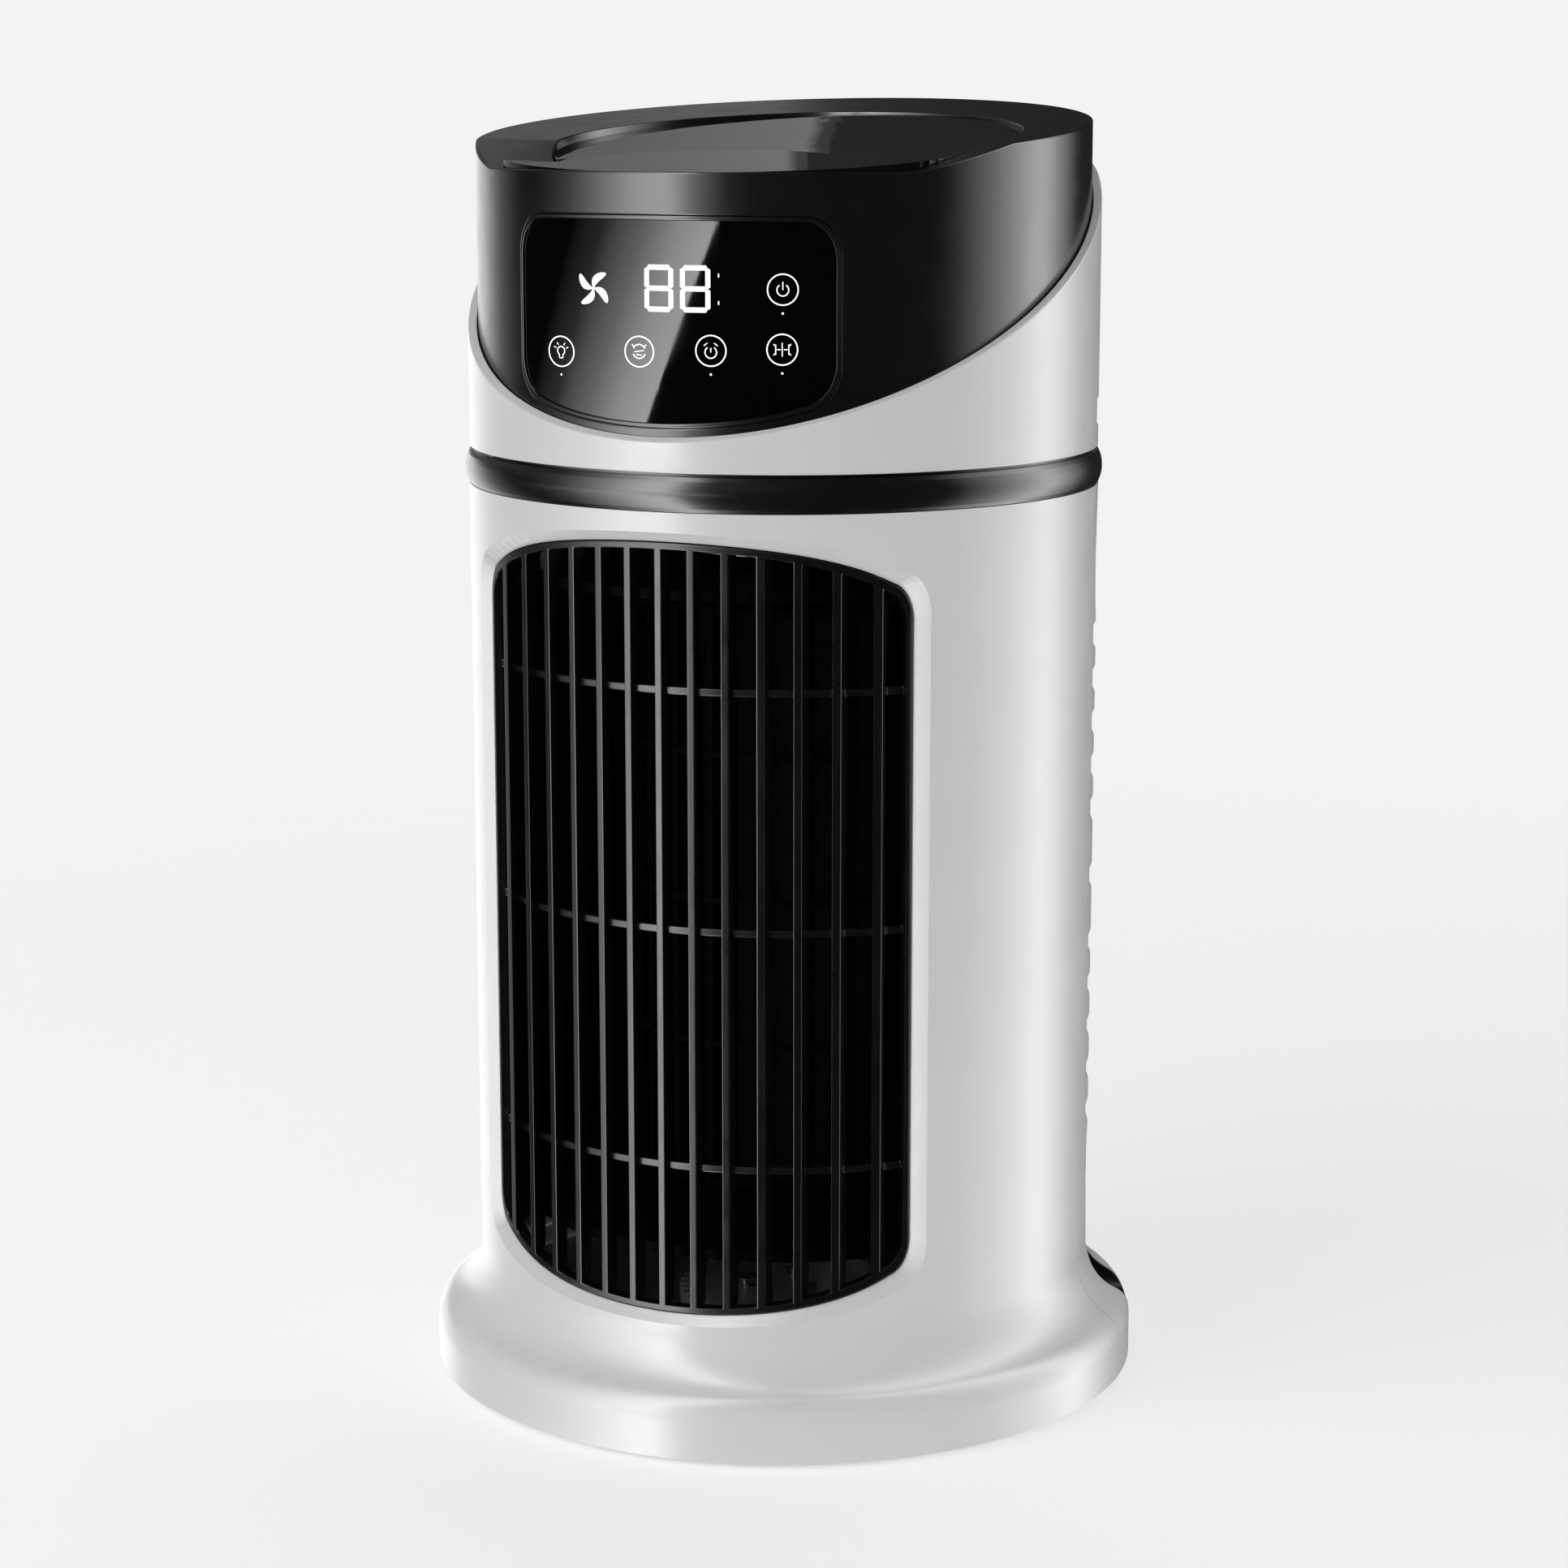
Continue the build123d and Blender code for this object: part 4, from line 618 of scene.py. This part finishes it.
def share(tree, value, start, span):
    """How far a value has come from a start, as a share of a span."""
    return math_node(tree, "DIVIDE", math_node(tree, "SUBTRACT", value, start), span)


def ramp_node(tree, source, stops):
    """Grey ramp through (position, value) stops."""
    ramp = tree.nodes.new("ShaderNodeValToRGB")
    elements = ramp.color_ramp.elements
    while len(elements) < len(stops):
        elements.new(0.5)
    for element, (position, value) in zip(elements, stops):
        element.position = position
        element.color = (value, value, value, 1.0)
    tree.links.new(source, ramp.inputs["Fac"])
    return ramp.outputs["Color"]


def light_room():
    """Studio: pale all round for the eye, with two tall soft strips for the gloss to pick up."""
    world = bpy.data.worlds.new("studio")
    world.use_nodes = True
    bpy.context.scene.world = world
    tree = world.node_tree
    tree.nodes.clear()
    place = tree.nodes.new("ShaderNodeTexCoord")
    aim = tree.nodes.new("ShaderNodeMapping")
    aim.vector_type = "POINT"
    aim.inputs["Rotation"].default_value = (0.0, 0.0, math.radians(-VIEW_TURN))
    tree.links.new(place.outputs["Generated"], aim.inputs["Vector"])
    split = tree.nodes.new("ShaderNodeSeparateXYZ")
    tree.links.new(aim.outputs["Vector"], split.inputs["Vector"])
    side, depth, up = split.outputs["X"], split.outputs["Y"], split.outputs["Z"]
    back = math_node(tree, "MULTIPLY", depth, -1.0)
    turn = in_degrees(tree, "ARCTAN2", side, back)
    behind = in_degrees(tree, "ARCTAN2", side, depth)
    rise = in_degrees(tree, "ARCSINE", up)
    height = share(tree, rise, -90.0, 180.0)

    # Left strip: its right edge leans over just below eye level
    lean = ramp_node(tree, share(tree, rise, -12.0, 12.0),
                     ((0.0, 0.5), (0.4, 0.5), (0.44, 1.0), (0.54, 1.0), (0.825, 0.0), (0.86, 0.0),
                      (0.9, 0.5)))
    lean = math_node(tree, "MULTIPLY", lean, -30.0)
    left = math_node(tree, "SUBTRACT", math_node(tree, "ADD", lean, -23.0), turn)
    left = math_node(tree, "DIVIDE", left, 60.0)
    left_strip = ramp_node(tree, left, ((0.0, 0.0), (0.006, 1.0), (0.2, 0.78), (0.45, 0.34),
                                        (0.75, 0.05), (1.0, 0.0)))
    # Right strip, behind the shoulder
    right_strip = ramp_node(tree, share(tree, turn, 64.0, 72.0),
                            ((0.0, 0.0), (0.3, 0.45), (0.62, 1.0), (0.8, 0.3), (1.0, 0.0)))
    # Thin bright edge from the backdrop at the left
    edge_strip = ramp_node(tree, share(tree, turn, -180.0, 66.0),
                           ((0.0, 0.5), (0.2, 1.0), (0.5, 1.0), (0.74, 0.3), (1.0, 0.0)))
    above = ramp_node(tree, height,
                      ((0.0, 0.6), (0.3, 1.0), (0.505, 1.0), (0.525, 0.15), (0.56, 0.05), (1.0, 0.05)))
    total = math_node(tree, "MULTIPLY", left_strip, LEFT_STRIP)
    total = math_node(tree, "ADD", total, math_node(tree, "MULTIPLY", right_strip, RIGHT_STRIP))
    edge_part = math_node(tree, "MULTIPLY", math_node(tree, "MULTIPLY", edge_strip, above), EDGE_STRIP)
    total = math_node(tree, "ADD", total, edge_part)
    # Pale patch high at the back, cut off along one side, for the polished lid
    patch_side = ramp_node(tree, share(tree, behind, -40.0, 50.0),
                           ((0.0, 0.5), (0.6, 0.45), (0.72, 0.5), (0.793, 1.0), (0.796, 0.06),
                            (1.0, 0.0)))
    patch_rise = ramp_node(tree, math_node(tree, "DIVIDE", rise, 40.0),
                           ((0.15, 0.0), (0.25, 0.6), (0.34, 0.7), (0.5, 1.0), (0.8, 0.0)))
    patch = math_node(tree, "MULTIPLY", math_node(tree, "MULTIPLY", patch_side, patch_rise), LID_PATCH)
    total = math_node(tree, "ADD", total, patch)
    total = math_node(tree, "ADD", total, GLOSS_BASE)

    def background(source, strength=1.0):
        node = tree.nodes.new("ShaderNodeBackground")
        node.inputs["Strength"].default_value = strength
        if isinstance(source, bpy.types.NodeSocket):
            tree.links.new(source, node.inputs["Color"])
        else:
            node.inputs["Color"].default_value = (*source, 1.0)
        return node.outputs[0]

    def choose(factor, first, second):
        node = tree.nodes.new("ShaderNodeMixShader")
        tree.links.new(factor, node.inputs[0])
        tree.links.new(first, node.inputs[1])
        tree.links.new(second, node.inputs[2])
        return node.outputs[0]

    path = tree.nodes.new("ShaderNodeLightPath")
    sky = ramp_node(tree, height, ((0.0, 0.5), (0.5, 0.62), (0.62, 0.6), (1.0, 0.55)))
    soft = background(sky, SKY)
    lit = choose(path.outputs["Is Glossy Ray"], soft, background(total))
    seen = choose(path.outputs["Is Camera Ray"], lit, background((BACKDROP, BACKDROP, BACKDROP)))
    out = tree.nodes.new("ShaderNodeOutputWorld")
    tree.links.new(seen, out.inputs["Surface"])


def lay_floor():
    """Pale floor that fades into the room."""
    bm = bmesh.new()
    bmesh.ops.create_circle(bm, cap_ends=True, segments=96, radius=2.0)
    mesh = bpy.data.meshes.new("floor")
    bm.to_mesh(mesh)
    bm.free()
    floor = bpy.data.objects.new("floor", mesh)
    bpy.context.scene.collection.objects.link(floor)
    material, tree, shader = new_finish("floor", (FLOOR, FLOOR, FLOOR), 0.9)
    shader.inputs["Specular IOR Level"].default_value = 0.0
    shader.inputs["Emission Color"].default_value = (1.0, 1.0, 1.0, 1.0)
    shader.inputs["Emission Strength"].default_value = FLOOR_GLOW
    place = tree.nodes.new("ShaderNodeTexCoord")
    split = tree.nodes.new("ShaderNodeSeparateXYZ")
    tree.links.new(place.outputs["Object"], split.inputs["Vector"])
    flat = tree.nodes.new("ShaderNodeCombineXYZ")
    tree.links.new(split.outputs["X"], flat.inputs["X"])
    tree.links.new(split.outputs["Y"], flat.inputs["Y"])
    length = tree.nodes.new("ShaderNodeVectorMath")
    length.operation = "LENGTH"
    tree.links.new(flat.outputs["Vector"], length.inputs[0])
    fade = tree.nodes.new("ShaderNodeMapRange")
    fade.interpolation_type = "SMOOTHSTEP"
    fade.inputs["From Min"].default_value = 0.2
    fade.inputs["From Max"].default_value = 1.0
    fade.inputs["To Min"].default_value = 1.0
    fade.inputs["To Max"].default_value = 0.0
    tree.links.new(length.outputs["Value"], fade.inputs["Value"])
    tree.links.new(fade.outputs["Result"], shader.inputs["Alpha"])
    mesh.materials.append(material)
    floor.visible_glossy = False


def hang_lamp(name, turn, rise, reach, size, power):
    """Soft square lamp aimed at the middle of the fan, seen by rough surfaces only."""
    light = bpy.data.lights.new(name, "AREA")
    light.shape = "RECTANGLE"
    light.size, light.size_y = size
    light.energy = power
    lamp = bpy.data.objects.new(name, light)
    a, e = math.radians(turn), math.radians(rise)
    away = Vector((math.sin(a) * math.cos(e), -math.cos(a) * math.cos(e), math.sin(e)))
    lamp.location = Vector((0, 0, 0.15)) + away * reach
    lamp.rotation_euler = away.to_track_quat("Z", "Y").to_euler()
    lamp.visible_glossy = False
    lamp.visible_camera = False
    bpy.context.scene.collection.objects.link(lamp)


# ------------------------------------------------------------------- assembly

GRILLE_LOW, GRILLE_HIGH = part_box("front_grille")
SLOT_OF = {row["node"]: row["material_slot"] for row in frame["record"]["subparts"]}
BODY_OF = {
    node: body for body, nodes in frame["record"]["behaviour"]["bodies"].items() for node in nodes
}
FINISHES = make_finishes()
for node, piece in NODES.items():
    paint(piece, FINISHES[SLOT_OF[node]])
# Painted shade: the duct parts wear the near-black finish in place of their own
for node in PAINTED_SHADE_DUCT:
    paint(NODES[node], FINISHES["duct_painted_shade"])

skin("rear_housing", flat=0.0)
for node in ("front_housing", "panel_glass", "socket_well", "power_socket", "mid_ring"):
    skin(node)
skin("head_shell", HEAD_EDGE)
for node in ("collar", "panel_bezel", "front_grille"):
    skin(node, TRIM_EDGE)
lid = skin("top_cover", crease=LID_CREASE)
paint(lid, FINISHES["lid_black"])
make_panel_marks()
place_camera()
light_room()
lay_floor()
hang_lamp("key", -35.0, 42.0, 1.6, (1.2, 1.2), 5.0)
bpy.context.scene.view_settings.view_transform = "Standard"
